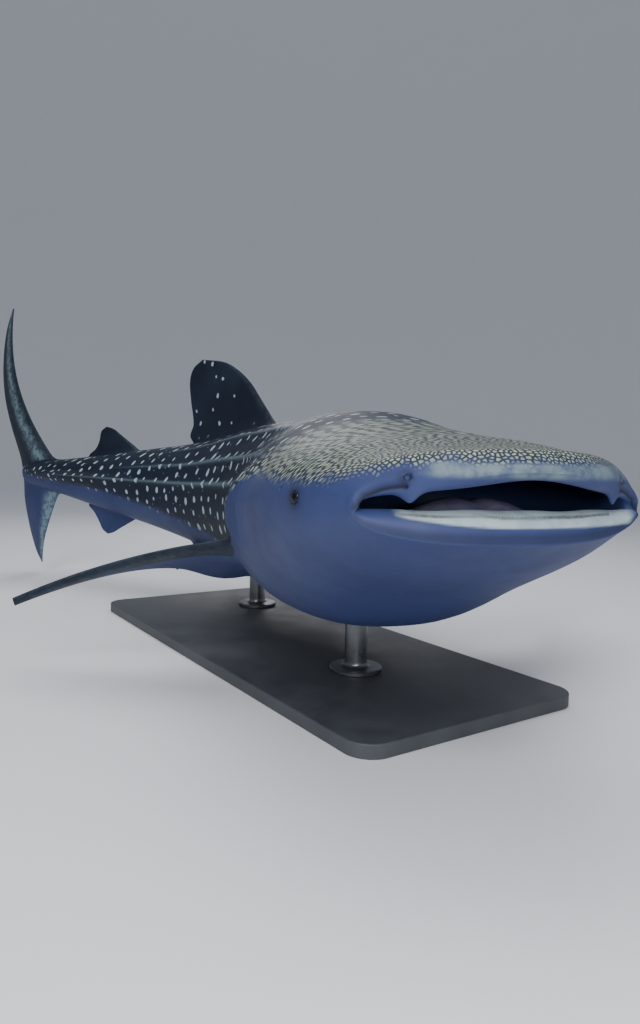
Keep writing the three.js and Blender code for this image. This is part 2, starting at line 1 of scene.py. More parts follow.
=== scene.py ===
"""Whale shark on a display stand: skin, eyes, mouth, stand and studio.

The file is laid out as a Blender add-on and run as a script. Places are metres in the model's
own frame. The animal's sizes are shares of its total length, and a station is a share of that
length measured along the spine from the tip of the snout.
"""
import math

import bpy
import numpy as np
from bpy.props import FloatProperty, FloatVectorProperty, IntProperty, PointerProperty
from bpy.types import Operator, Panel, PropertyGroup
from mathutils import Matrix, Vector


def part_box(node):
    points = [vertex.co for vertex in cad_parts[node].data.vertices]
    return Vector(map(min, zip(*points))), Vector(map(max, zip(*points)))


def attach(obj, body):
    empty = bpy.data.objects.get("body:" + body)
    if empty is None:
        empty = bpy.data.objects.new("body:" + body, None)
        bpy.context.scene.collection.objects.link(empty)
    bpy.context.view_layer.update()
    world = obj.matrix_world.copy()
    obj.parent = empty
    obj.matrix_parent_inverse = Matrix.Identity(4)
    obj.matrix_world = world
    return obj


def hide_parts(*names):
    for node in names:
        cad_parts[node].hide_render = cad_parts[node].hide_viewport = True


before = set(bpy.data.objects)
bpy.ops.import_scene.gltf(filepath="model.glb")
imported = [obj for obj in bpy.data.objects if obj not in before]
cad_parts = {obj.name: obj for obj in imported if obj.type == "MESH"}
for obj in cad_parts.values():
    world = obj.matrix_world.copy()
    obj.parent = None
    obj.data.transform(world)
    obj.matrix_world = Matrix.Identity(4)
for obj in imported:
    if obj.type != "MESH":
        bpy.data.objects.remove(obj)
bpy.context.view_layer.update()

bl_info = {
    "name": "Whale Shark Display Model",
    "version": (1, 0, 0),
    "blender": (4, 5, 0),
    "location": "3D View > Sidebar > Shark",
    "description": "Builds the surfaces and finishes of a life-size whale shark on its stand",
    "category": "Add Mesh",
}

BODY = "root"
LENGTH = 7.0
SNOUT = np.array([2.245, -0.640, 0.960])
FLESH = ["head", "lower_jaw", "torso", "tail_stalk", "first_dorsal_fin", "second_dorsal_fin",
         "anal_fin", "caudal_fin_upper_lobe", "caudal_fin_lower_lobe", "pectoral_fin_right",
         "pectoral_fin_left", "pelvic_fin_right", "pelvic_fin_left"]
FLESH += [f"gill_flap_{side}_{i}" for side in ("right", "left") for i in range(1, 6)]


def curve(points):
    """Cubic through the points, where each slope is that of the line between its neighbours."""
    x, y = np.array(points, float).T
    last = len(x) - 1
    ahead = np.minimum(np.arange(len(x)) + 1, last)
    behind = np.maximum(np.arange(len(x)) - 1, 0)
    slope = (y[ahead] - y[behind]) / (x[ahead] - x[behind])

    def value(at):
        at = np.clip(at, x[0], x[last])
        i = np.clip(np.searchsorted(x, at, side="right") - 1, 0, last - 1)
        width = x[i + 1] - x[i]
        t = (at - x[i]) / width
        rise = (y[i + 1] - y[i]) * t * t * (3 - 2 * t)
        return y[i] + rise + width * t * (1 - t) * (slope[i] * (1 - t) - slope[i + 1] * t)

    return value


def step(x, low, high):
    """Smooth rise from 0 at low to 1 at high."""
    t = np.clip((x - low) / (high - low), 0, 1)
    return t * t * (3 - 2 * t)


def bell(x, width):
    """Bell-shaped swelling exp(-(x / width)^2), 1 where x is 0."""
    return np.exp(-(x / width) ** 2)


# Pose of the spine: heading to the left in degrees, and climb of the rearward direction.
HEADING = curve([[0, -17.4], [0.12, -20.2], [0.25, -23.1], [0.4, -5.3], [0.55, 16.6],
                 [0.68, 31.3], [0.785, 33], [0.83, 20], [0.88, 9], [0.95, 4]])
CLIMB = curve([[0, 0.1], [0.25, -5.1], [0.5, 1], [0.785, 4.2], [1, 4.2]])
SPINE_STEPS = 400

# Outline of the body: half width, height above the spine and depth below it. Roundness and crown
# are the powers of the ovals, and lean is how far a ring of the head bends back to its corner.
SIDE = curve([[0.0262, 0.0646], [0.063, 0.0791], [0.1, 0.0862], [0.15, 0.0886], [0.2, 0.093],
              [0.27, 0.0838], [0.35, 0.0731], [0.45, 0.0612], [0.55, 0.0481], [0.65, 0.034],
              [0.72, 0.026], [0.785, 0.02], [0.82, 0.0115], [0.848, 0.0035]])
TOP = curve([[0, 0.0238], [0.03, 0.0257], [0.06, 0.0306], [0.1, 0.0362], [0.15, 0.0463],
             [0.2, 0.0592], [0.27, 0.0682], [0.35, 0.0737], [0.45, 0.0738], [0.55, 0.058],
             [0.65, 0.0436], [0.72, 0.0313], [0.785, 0.0203], [0.82, 0.016], [0.848, 0.01]])
BOTTOM = curve([[0.0144, 0.0135], [0.05, 0.0315], [0.1, 0.0512], [0.15, 0.0715], [0.2, 0.076],
                [0.27, 0.0805], [0.35, 0.0782], [0.45, 0.0683], [0.55, 0.0535], [0.65, 0.0389],
                [0.72, 0.0284], [0.785, 0.0179], [0.82, 0.015], [0.848, 0.01]])
ROUNDNESS = curve([[0.02, 0.76], [0.05, 0.8], [0.12, 0.89]])
CROWN = curve([[0, 0.76], [0.05, 0.72], [0.1, 0.95], [0.16, 1.45], [0.22, 1.6], [0.3, 1.25],
               [0.45, 1.1], [0.6, 0.95]])
CHEEK = 0.1
MOUTH_CORNER = 0.0262
CHIN = 0.0144
LEAN = 3.2
NOSE_START = 0.88
NOSE_FALL = 0.33
TAIL_TIP = 0.856
CROWDING = 0.17

# Lips and mouth from the rim inwards: corner station and half width, upper station and height,
# lower station and depth.
MOUTH_ROWS = np.array([
    [0.0262, 0.0646, 0.0, 0.0159, 0.0144, 0.0135],
    [0.0261, 0.0640, 0.0006, 0.0122, 0.0137, 0.0100],
    [0.0263, 0.0634, 0.0022, 0.0095, 0.0138, 0.0062],
    [0.0275, 0.0622, 0.0046, 0.0080, 0.0153, 0.0030],
    [0.0290, 0.0614, 0.0072, 0.0084, 0.0188, 0.0009],
    [0.0305, 0.0606, 0.0100, 0.0100, 0.0228, 0.0003],
    [0.0340, 0.0598, 0.0150, 0.0118, 0.0262, 0.0040],
    [0.0400, 0.0590, 0.0240, 0.0145, 0.0310, 0.0110],
    [0.0560, 0.0575, 0.0450, 0.0170, 0.0500, 0.0165],
    [0.0800, 0.0540, 0.0750, 0.0175, 0.0780, 0.0185],
    [0.1050, 0.0420, 0.1030, 0.0150, 0.1040, 0.0170],
    [0.1230, 0.0220, 0.1230, 0.0090, 0.1230, 0.0110],
])
MOUTH_END = 0.13

# Rows between which the lining's colour begins, arch of the upper lip and waves of the lower one.
LINING_ROWS = (5.2, 6.2)
LIP_ARCH = {"rise": 0.0045, "spread": 0.026, "row": 1.5}
LIP_WAVE = {"rise": 0.00035, "rows": (2, 4), "waves": (160, 57)}

# Nasal flap that hangs from the upper lip, and the furrow from the mouth's corner to the nostril.
NASAL_FLAP = {"across": 0.0450, "spread": 0.0031, "drop": 0.0041, "row": 2.9, "rows": 1.1,
              "point": 1.7}
NOSTRIL = (0.0161, 0.0476, 0.0125)
FURROW = np.array([[0.0264, 0.0645, 0.0002], [0.0262, 0.0631, 0.0023], [0.0254, 0.0611, 0.0050],
                   [0.0241, 0.0584, 0.0062], [0.0225, 0.0559, 0.0076], [0.0207, 0.0533, 0.0084],
                   [0.0187, 0.0504, 0.0090], [0.0169, 0.0477, 0.0091]])
SPIRACLE = (0.0763, 0.0818, 0.0064)
EYE = np.array([0.062, 0.0789, 0.0027])
EYE_MOUND = {"rise": 0.0007, "spread": 0.0060}
FURROW_CUT = {"depth": 0.0012, "width": 0.0010, "lip": 0.0006, "lip_at": 0.0026, "lip_width": 0.0013}
TOOTH_LINE = np.array([[0.0183, -0.0187, -0.0014], [0.0155, -0.0074, -0.0029],
                       [0.0153, 0.0097, -0.0031], [0.0178, 0.0232, -0.0020]])

# Pale bands of the lips: edges as heights, and where they fade on the right and on the left.
LOWER_BAND = {"low": -0.0066, "soft": (0.0006, 0.0005), "rise": (0.0035, 0.0004), "half": 0.045,
              "rows": (0.3, 0.8, 5.3, 6.2), "right": (-0.0500, -0.0425), "left": (0.059, 0.064)}
UPPER_BAND = {"low": (0.0118, 0.0145), "high": (0.0178, 0.0192), "row": 3, "behind": 0.03,
              "right": (-0.0460, -0.0350), "left": (0.060, 0.066)}

# Widths and strengths of the painted shade of the face: dark lines in the furrow and along the
# teeth, halos round the eye and the nostril, and rows of the painted shade under the lip.
PAINTED_SHADE = {"furrow": 0.0011, "furrow_row": 3, "eye": 0.0054, "eye_share": 0.95, "nostril": 0.0026,
        "teeth": 0.0006, "teeth_share": 0.6, "lip_share": 0.5, "lip_rows": (-0.04, 0.3, 0.9, 1.7)}

# Ridges along the flank: angles at the front and rear, stations of the ends, and height. Keel of
# the tail: stations of its start, peak and end, height, and spread in degrees. Gill slits.
RIDGES = ((22, 7, 0.17, 0.8, 0.0022), (40, 30, 0.17, 0.68, 0.0022), (62, 56, 0.19, 0.6, 0.002))
KEEL = (0.6, 0.755, 0.83, 0.0075, 11)
RIDGE_WIDTHS = (5, 2)
# Width in degrees of the painted highlight on each ridge crest.
RIDGE_HIGHLIGHT_WIDTH = 1.4
GILLS = {"count": 5, "first": 0.1625, "pitch": 0.0118, "lift": 0.002, "groove": 0.0021,
         "slit": 0.12, "low": -20, "high": 36}
GILL_STEPS = (-0.0022, -0.0009, -0.0002, 0.0002, 0.0005, 0.0009, 0.0013, 0.0018)

# Line where the dark back ends on the flank, as a height above the spine.
SHADE_LINE = curve([[0, 0.0178], [0.012, 0.0178], [0.02, 0.0166], [0.03, 0.0132], [0.042, 0.0104],
                    [0.068, 0.0092], [0.1, 0.0112], [0.14, 0.0135], [0.175, 0.0120],
                    [0.195, -0.002], [0.22, -0.026], [0.28, -0.040], [0.4, -0.040],
                    [0.5, -0.031], [0.6, -0.018], [0.7, -0.0075], [0.78, -0.004], [0.85, 0]])

# Stations where the counts of spots along the body start, and the stretch of spots on the crown.
RUN_START = (0.12, 0.35)
CROWN_STRETCH = 1.3

# Spacing of the markings in metres: head spots, and trunk spots along and across the body.
HEAD_SPOT = curve([[0, 0.0145], [0.03, 0.0165], [0.05, 0.021], [0.08, 0.028], [0.12, 0.033],
                   [0.16, 0.037], [0.22, 0.043]])
ALONG_SPOT = curve([[0.1, 0.085], [0.25, 0.120], [0.4, 0.145], [0.6, 0.125], [0.85, 0.08]])
ACROSS_SPOT = curve([[0.1, 0.065], [0.25, 0.094], [0.4, 0.104], [0.6, 0.080], [0.85, 0.05]])


def make_spine():
    """Place and directions at each station, summed from the snout backwards."""
    s = np.linspace(0, 1, SPINE_STEPS + 1)
    turn = np.radians(HEADING(s))
    rise = np.radians(CLIMB(s))
    forward = np.stack([np.cos(turn) * np.cos(rise), np.sin(turn) * np.cos(rise), -np.sin(rise)], 1)
    left = np.stack([-np.sin(turn), np.cos(turn), 0 * turn], 1)
    back = np.vstack([np.zeros(3), np.cumsum(forward[:-1], 0)]) * LENGTH / SPINE_STEPS
    return {"s": s, "place": SNOUT - back, "forward": forward, "left": left,
            "up": np.cross(forward, left)}


SPINE = make_spine()


def at(s, y, z):
    """Point at a station, a distance to the left and a height, all as shares of the length."""
    s, y, z = np.broadcast_arrays(s, y, z)

    def mix(key):
        return np.stack([np.interp(s, SPINE["s"], SPINE[key][:, i]) for i in range(3)], -1)

    return mix("place") + LENGTH * (y[..., None] * mix("left") + z[..., None] * mix("up"))


def relief(s, angle):
    """Ridges as bell-shaped swellings across the flank, keel, and a saw-tooth over the gills."""
    rise = np.zeros(np.broadcast(s, angle).shape)
    for front, rear, start, end, height in RIDGES:
        along = np.clip((s - start) / (end - start), 0, 1)
        middle = front + (rear - front) * along
        crest = 0.6 * bell(angle - middle, RIDGE_WIDTHS[0])
        crest += 0.6 * bell(angle - middle, RIDGE_WIDTHS[1])
        rise += height * np.sin(np.pi * along) ** 0.7 * crest
    start, peak, end, height, spread = KEEL
    keel = np.where(s < peak, step(s, start, peak), 1 - step(s, peak, end))
    rise += height * keel * bell(angle - RIDGES[0][1], spread)
    along = (s - GILLS["first"]) / GILLS["pitch"] + 1
    number = np.clip(np.floor(along), 0, GILLS["count"])
    low = GILLS["low"] + 3.5 * number
    high = GILLS["high"] - 2 * number
    window = step(angle, low - 5, low + 3) * (1 - step(angle, high - 3, high + 5))
    saw = along - np.floor(along)
    inside = (along > 0) & (along < GILLS["count"] + GILLS["slit"])
    groove = np.where((saw < GILLS["slit"]) & (along > 1), np.sin(np.pi * saw / GILLS["slit"]), 0)
    flap = np.where(along < GILLS["count"], GILLS["lift"] * saw ** 2, 0)
    return rise + inside * window * (flap - GILLS["groove"] * np.sqrt(np.abs(groove)))


def ridge_highlights(s, angle):
    """Painted highlight: a thin pale line on each ridge crest, strongest at the middle of its length."""
    line = np.zeros(np.broadcast(s, angle).shape)
    for front, rear, start, end, _height in RIDGES:
        along = np.clip((s - start) / (end - start), 0, 1)
        middle = front + (rear - front) * along
        line += np.sin(np.pi * along) ** 0.7 * bell(angle - middle, RIDGE_HIGHLIGHT_WIDTH)
    return line


def line_distance(points, line):
    """Distance of each point from a line of a few straight stretches."""
    best = np.full(points.shape[:-1], 9.0)
    for a, b in zip(line[:-1], line[1:]):
        t = np.clip(((points - a) @ (b - a)) / ((b - a) @ (b - a)), 0, 1)
        best = np.minimum(best, np.linalg.norm(points - a - t[..., None] * (b - a), axis=-1))
    return best


def mouth_shape(row):
    """Six sizes of the mouth at a row that may lie between two rows of the table."""
    count = np.arange(len(MOUTH_ROWS))
    return [curve(np.stack([count, MOUTH_ROWS[:, k]], 1))(row) for k in range(6)]


def ring_rows():
    """Rows of the body from tail to snout and on over the lips into the mouth.

    Each row is corner station, half width, upper station, height, lower station, depth. The
    second list counts how far a row lies inside the mouth, and is negative outside.
    """
    edges = GILLS["first"] + GILLS["pitch"] * np.arange(GILLS["count"])
    fine = edges[:, None] + np.array(GILL_STEPS)
    trunk = np.concatenate([np.linspace(0.852, 0.6, 40), np.linspace(0.594, 0.23, 54),
                            np.linspace(0.226, 0.103, 16), fine.ravel()])
    trunk = np.unique(np.round(trunk, 5))[::-1]
    body = np.stack([trunk, SIDE(trunk), trunk, TOP(trunk), trunk, BOTTOM(trunk)], 1)
    r = np.linspace(0, 1, 56) ** 0.8
    nose = 1 - NOSE_FALL * np.clip((r - NOSE_START) / (1 - NOSE_START), 0, 1) ** 2
    corner = CHEEK + (MOUTH_CORNER - CHEEK) * r
    brow = CHEEK * (1 - r)
    chin = CHEEK + (CHIN - CHEEK) * r
    head = np.stack([corner, SIDE(corner), brow, TOP(brow) * nose, chin, BOTTOM(chin)], 1)
    count = len(MOUTH_ROWS) - 1
    inner = count * np.linspace(0, 1, 50)[1:] ** 1.15
    mouth = np.stack(mouth_shape(inner), 1)
    depth = np.concatenate([np.full(len(body), -2.0), r - 1.0, inner])
    return np.vstack([body, head, mouth]), depth


def pale_bands(s, y, z, q, inside):
    """Shares of the lower and the upper pale band and of the mouth's lining at each point."""
    band = LOWER_BAND
    low = band["low"] + np.where(y < 0, *(rise * (y / band["half"]) ** 2 for rise in band["rise"]))
    lower = (q < 0) * step(z, low - band["soft"][0], low + band["soft"][1])
    lower = lower * step(inside, *band["rows"][:2]) * (1 - step(inside, *band["rows"][2:]))
    lower = lower * step(y, *band["right"]) * (1 - step(y, *band["left"]))
    band = UPPER_BAND
    upper = (q > 0) * 1.0 * step(z, *band["low"]) * (1 - step(z, *band["high"])) * (s < band["behind"])
    upper = upper * (inside < band["row"]) * step(y, *band["right"]) * (1 - step(y, *band["left"]))
    lining = step(inside + 0 * s, *LINING_ROWS)
    return np.stack([lower, upper, lining], -1)


def painted_shade_marks(s, y, z, q, inside, mirrored, fold):
    """Share of painted shade in the furrow, round the eye and nostril, under the lip and at the teeth."""
    dark = bell(fold, PAINTED_SHADE["furrow"]) * (inside < PAINTED_SHADE["furrow_row"])
    dark = dark + PAINTED_SHADE["eye_share"] * bell(np.linalg.norm(mirrored - EYE, axis=-1), PAINTED_SHADE["eye"])
    dark = dark + bell(np.linalg.norm(mirrored - NOSTRIL, axis=-1), PAINTED_SHADE["nostril"])
    start, full, fade, end = PAINTED_SHADE["lip_rows"]
    under = step(inside, start, full) * (1 - step(inside, fade, end))
    dark = dark + PAINTED_SHADE["lip_share"] * (q < 0) * under
    teeth = line_distance(np.stack([s, y, z], -1), TOOTH_LINE)
    return dark + PAINTED_SHADE["teeth_share"] * bell(teeth, PAINTED_SHADE["teeth"]) * (inside > 1)


def spot_counts(points, s, q, stations):
    """Lengths over the skin in spacings of spots: along each column, and round from the crest."""
    columns = points.shape[1]
    arc = np.linalg.norm(np.roll(points, -1, 1) - points, axis=-1)
    stretch = 1 + CROWN_STRETCH * np.maximum(q, 0) ** 3 * step(s, 0.03, 0.11)
    girths = np.stack([np.cumsum(arc / gap, 1) for gap in (HEAD_SPOT(s) * stretch, ACROSS_SPOT(s))])
    girths = girths - girths[:, :, columns // 2, None]
    pace = np.linalg.norm(np.diff(points, axis=0, prepend=points[:1]), axis=-1)
    runs = []
    for gap, start in zip((HEAD_SPOT(s), ALONG_SPOT(s)), RUN_START):
        run = np.cumsum(pace / gap, 0)
        runs.append(run - run[np.argmin(np.abs(stations - start))])
    return runs, girths


def body_surface(columns):
    """Closed body: each ring is a rounded oval, x = a cos^n, z = b sin^m, leaning to the mouth."""
    rows, depth = ring_rows()
    phase = -np.pi / 2 + 2 * np.pi * np.arange(columns) / columns
    turn = phase - CROWDING * np.sin(2 * phase)
    c = np.cos(turn)[None, :]
    q = np.sin(turn)[None, :]
    station, side, top, height, low, deep = [rows[:, k, None] for k in range(6)]
    inside = depth[:, None]
    s = station + (np.where(q > 0, top, low) - station) * np.abs(q) ** LEAN
    power = ROUNDNESS(s)
    y = side * np.sign(c) * np.abs(c) ** power
    z = np.where(q > 0, height, deep) * np.sign(q) * np.abs(q) ** np.where(q > 0, CROWN(s), power)
    upper = (q > 0) * 1.0
    z = z + upper * LIP_ARCH["rise"] * step(inside, 0, LIP_ARCH["row"]) * bell(y, LIP_ARCH["spread"])
    away = np.abs(np.abs(y) - NASAL_FLAP["across"]) / NASAL_FLAP["spread"]
    flap = upper * (inside > -0.2) * bell(inside - NASAL_FLAP["row"], NASAL_FLAP["rows"])
    z = z - NASAL_FLAP["drop"] * flap * np.exp(-away ** NASAL_FLAP["point"])
    wave = np.sin(LIP_WAVE["waves"][0] * y + 1) * np.sin(LIP_WAVE["waves"][1] * y)
    z = z + LIP_WAVE["rise"] * (1 - upper) * step(inside, *LIP_WAVE["rows"]) * wave
    angle = np.degrees(np.arctan2(q, np.abs(c)))
    mirrored = np.stack([s, np.abs(y), z], -1)
    fold = line_distance(mirrored, FURROW)
    lift = np.where(inside < -1.5, relief(s, angle), 0)
    lift = lift - FURROW_CUT["depth"] * bell(fold, FURROW_CUT["width"])
    lift = lift + FURROW_CUT["lip"] * bell(fold - FURROW_CUT["lip_at"], FURROW_CUT["lip_width"])
    near_eye = np.linalg.norm(mirrored - EYE, axis=-1)
    lift = lift + EYE_MOUND["rise"] * bell(near_eye, EYE_MOUND["spread"])
    scale = 1 + lift / np.maximum(np.hypot(y, z), 1e-6)
    y = y * scale
    z = z * scale
    points = at(s, y, z)
    outer = rows[:len(rows) - len(MOUTH_ROWS), 0]
    runs, girths = spot_counts(points, s, q, outer)
    marks = pale_bands(s, y, z, q, inside)
    fields = skin_fields(s, *runs, *girths, (z - SHADE_LINE(s)) * LENGTH, marks, 1.0)
    # Painted highlight along the ridge crests.
    fields["ridge"] = ridge_highlights(s, angle) * (inside < -1.5)
    # Painted shade in the furrow, round the eye and the nostril, under the lip and along the teeth.
    fields["shadow"] = painted_shade_marks(s, y, z, q, inside, mirrored, fold)
    ends = [at(TAIL_TIP, 0.0, 0.0), at(MOUTH_END, 0.0, 0.0)]
    return grid_object("skin", points, ends, fields)


def skin_fields(s, head_run, trunk_run, head_girth, trunk_girth, tone, marks, part):
    """Values kept on the skin's points: runs and girths are lengths in spacings of spots."""
    zero = 0 * (s + head_girth)
    return {
        "cells": np.stack([head_run + zero, head_girth + zero, zero], -1),
        "rows": np.stack([trunk_run + zero, trunk_girth + zero, zero], -1),
        "station": s * LENGTH + zero, "marks": marks, "tone": tone + zero, "part": zero + part,
        "shadow": zero, "fin": zero, "ridge": zero, "edge": zero, "seam": zero,
    }


def add_object(name, data):
    made = bpy.data.objects.new(name, data)
    bpy.context.scene.collection.objects.link(made)
    return made


def set_smooth(mesh, smooth):
    mesh.polygons.foreach_set("use_smooth", np.full(len(mesh.polygons), smooth))


def points_of(mesh):
    points = np.zeros(3 * len(mesh.vertices), np.float32)
    mesh.vertices.foreach_get("co", points)
    return points.reshape(-1, 3)


def grid_object(name, points, ends, fields=None):
    """Mesh of a grid that closes across its columns, with a pole at each end."""
    rows, columns = points.shape[:2]
    k = np.arange(columns)
    j = np.arange(rows - 1)[:, None] * columns
    after = (k + 1) % columns
    quads = np.stack([j + k, j + after, j + columns + after, j + columns + k], -1).reshape(-1, 4)
    total = rows * columns
    last = (rows - 1) * columns
    start = np.stack([np.full(columns, total), after, k], 1)
    finish = np.stack([np.full(columns, total + 1), last + k, last + after], 1)
    vertices = np.vstack([points.reshape(-1, 3), ends])
    if volume(vertices, quads, start, finish) < 0:
        quads, start, finish = quads[:, ::-1], start[:, ::-1], finish[:, ::-1]
    mesh = bpy.data.meshes.new(name)
    mesh.from_pydata(vertices.tolist(), [], quads.tolist() + start.tolist() + finish.tolist())
    mesh.update()
    set_smooth(mesh, True)
    for key, value in (fields or {}).items():
        flat = value.reshape(total, -1)
        ends_value = np.stack([flat[:columns].mean(0), flat[-columns:].mean(0)])
        write_field(mesh, key, np.vstack([flat, ends_value]))
    return add_object(name, mesh)


def volume(vertices, quads, *fans):
    """Six times the enclosed volume, from the triple product of every triangle."""
    triangles = np.vstack([quads[:, :3], quads[:, [0, 2, 3]], *fans])
    a, b, c = (vertices[triangles[:, i]] for i in range(3))
    return np.einsum("ij,ij->", a, np.cross(b, c))


def write_field(mesh, key, value):
    kind, slot = ("FLOAT_VECTOR", "vector") if value.shape[1] == 3 else ("FLOAT", "value")
    made = mesh.attributes.get(key) or mesh.attributes.new(key, kind, "POINT")
    made.data.foreach_set(slot, value.astype(np.float32).ravel())


def read_field(mesh, key):
    field = mesh.attributes[key]
    size = 3 if field.data_type == "FLOAT_VECTOR" else 1
    value = np.zeros(len(mesh.vertices) * size, np.float32)
    field.data.foreach_get("vector" if size == 3 else "value", value)
    return value.reshape(-1, size)


# Fins. Edges give the station of the leading and trailing edge at each share of the height. Pale
# is the strength of a painted highlight, a pale streak of sheen along the fin, and the highlight
# streak and band keys give its place and width as shares of the chord, thin is how much thinner
# the tip is, and plain is 1 for a few spots or 2 for none.
MID_FINS = {
    "first_dorsal": {
        "lead": [[0, 0.438], [0.16, 0.4547], [0.34, 0.4711], [0.56, 0.4903], [0.77, 0.5148],
                 [0.91, 0.5384], [1, 0.57]],
        "trail": [[0, 0.58], [0.09, 0.5892], [0.23, 0.5825], [0.53, 0.5876], [0.78, 0.5906],
                  [0.93, 0.585], [1, 0.572]],
        "height": 0.0896, "half": 0.0062, "up": 1, "plain": 1, "pale": 0.1, "highlight_streak": 0.03},
    "second_dorsal": {
        "lead": [[0, 0.6617], [0.33, 0.677], [0.67, 0.6924], [0.9, 0.7032], [1, 0.7125]],
        "trail": [[0, 0.7375], [0.08, 0.738], [0.25, 0.7285], [0.52, 0.7234], [0.88, 0.7208],
                  [1, 0.7145]],
        "height": 0.0334, "half": 0.0034, "up": 1, "plain": 2, "pale": 0.2, "highlight_streak": 0.03},
    "anal": {
        "lead": [[0, 0.661], [0.25, 0.6715], [0.63, 0.6863], [0.87, 0.6953], [1, 0.703]],
        "trail": [[0, 0.732], [0.1, 0.735], [0.3, 0.726], [0.64, 0.7171], [0.9, 0.7115],
                  [1, 0.705]],
        "height": 0.0295, "half": 0.003, "up": -1, "plain": 2, "pale": 0, "highlight_streak": 0.03},
}
LOBES = {
    "upper_lobe": {
        "lead": [[0, 0.77], [0.1, 0.787], [0.25, 0.812], [0.45, 0.842], [0.7, 0.876],
                 [0.9, 0.902], [1, 0.914]],
        "trail": [[0, 0.848], [0.1, 0.854], [0.25, 0.869], [0.45, 0.89], [0.7, 0.91],
                  [0.88, 0.92], [1, 0.916]],
        "height": 0.2068, "half": 0.0062, "up": 1, "bow": 0.008, "belly": 0.011,
        "plain": 2, "pale": 0.85, "highlight_streak": 0.3, "band": 0.16},
    "lower_lobe": {
        "lead": [[0, 0.768], [0.2, 0.782], [0.5, 0.8], [0.8, 0.822], [1, 0.838]],
        "trail": [[0, 0.848], [0.25, 0.849], [0.5, 0.847], [0.75, 0.846], [0.9, 0.845],
                  [1, 0.8395]],
        "height": 0.1185, "half": 0.0052, "up": -1, "bow": 0.024, "belly": 0,
        "plain": 2, "pale": 1.4, "highlight_streak": 0.12},
}
PECTORAL = {
    "lead": [[0, 0], [0.25, 0.017], [0.5, 0.041], [0.75, 0.068], [0.92, 0.09], [1, 0.1]],
    "trail": [[0, 0.08], [0.1, 0.084], [0.25, 0.077], [0.5, 0.086], [0.75, 0.096],
              [0.92, 0.107], [1, 0.107]],
    "station": 0.2073, "across": 0.0865, "height": -0.025, "span": 0.156, "half": 0.0062,
    "pitch": 23, "plain": 2, "pale": 0.14, "highlight_streak": 0.10, "thin": 0.45}
PELVIC = {
    "lead": [[0, 0], [0.5, 0.012], [1, 0.03]],
    "trail": [[0, 0.036], [0.15, 0.042], [0.4, 0.037], [0.8, 0.038], [1, 0.032]],
    "station": 0.513, "across": 0.026, "height": -0.05, "span": 0.034, "half": 0.0028, "pitch": 6,
    "plain": 2, "pale": 0, "highlight_streak": 0.05}
PAIRED = (("pectoral_right", PECTORAL, -1, 16.2, 1), ("pectoral_left", PECTORAL, 1, 1, 1.25),
          ("pelvic_right", PELVIC, -1, 48, 1), ("pelvic_left", PELVIC, 1, 48, 1))
FIN_SINK = -0.22
FIN_SPOT = 0.112
UNTWIST = 1.6


def fin_surface(name, shape, place, part, fine=1.0):
    """Fin: a rounded foil, half thickness a u^0.5 (1 - u)^0.85, carried from root to tip."""
    chords = int(26 * fine)
    u = (1 - np.cos(np.pi * np.arange(chords + 1) / chords)) / 2
    u = np.concatenate([u, u[-2:0:-1]])[None, :]
    face = np.concatenate([np.ones(chords + 1), -np.ones(chords - 1)])[None, :]
    v = 1 - (1 - np.linspace(0, 0.996, int(38 * fine))) ** 1.25
    v = np.concatenate([[FIN_SINK, FIN_SINK / 2], v])[:, None]
    share = np.maximum(v, 0)
    lead = curve(shape["lead"])(share)
    trail = curve(shape["trail"])(share)
    half = shape["half"] * (1 - shape.get("thin", 0.8) * share) * (1 + 0.7 * bell(share, 0.06))
    foil = 1.9 * np.sqrt(u) * (1 - u) ** 0.85 + 0.07 * np.sin(np.pi * u)
    chord = lead + (trail - lead) * u
    points, s, height, tone = place(chord, v, share, face * half * foil)
    marks = np.zeros(points.shape)
    run = s * LENGTH / FIN_SPOT
    rise = height / FIN_SPOT + part
    fields = skin_fields(s, run, run, rise, rise, tone, marks, part)
    fields["fin"] = 0 * s + shape["plain"]
    # Painted highlight: a pale streak of sheen along the fin, its strength, place and width from the
    # shape.
    band = shape.get("band", shape["highlight_streak"])
    fields["edge"] = 0 * s + shape["pale"] * bell(u - shape["highlight_streak"], band)
    return grid_object(name, points, [points[0].mean(0), points[-1].mean(0)], fields)


def mid_fin(name, shape, part):
    outline = TOP if shape["up"] > 0 else BOTTOM

    def place(s, v, share, off):
        z = shape["up"] * (outline(s) + shape["height"] * v)
        tone = 0.3 * shape["up"] + 0 * z
        return at(s, off, z), s, LENGTH * z, tone

    return fin_surface(name, shape, place, part)


def tail_lobe(name, shape, part):

    def place(s, v, share, off):
        lateral = shape["bow"] * share ** 2 - shape["belly"] * np.sin(np.pi * share)
        z = shape["up"] * (shape["height"] * share + 0.012 * np.minimum(v, 0)) + 0 * s
        return at(s, lateral + off, z), s, LENGTH * z, 0.3 * shape["up"] + 0 * z

    return fin_surface(name, shape, place, part)


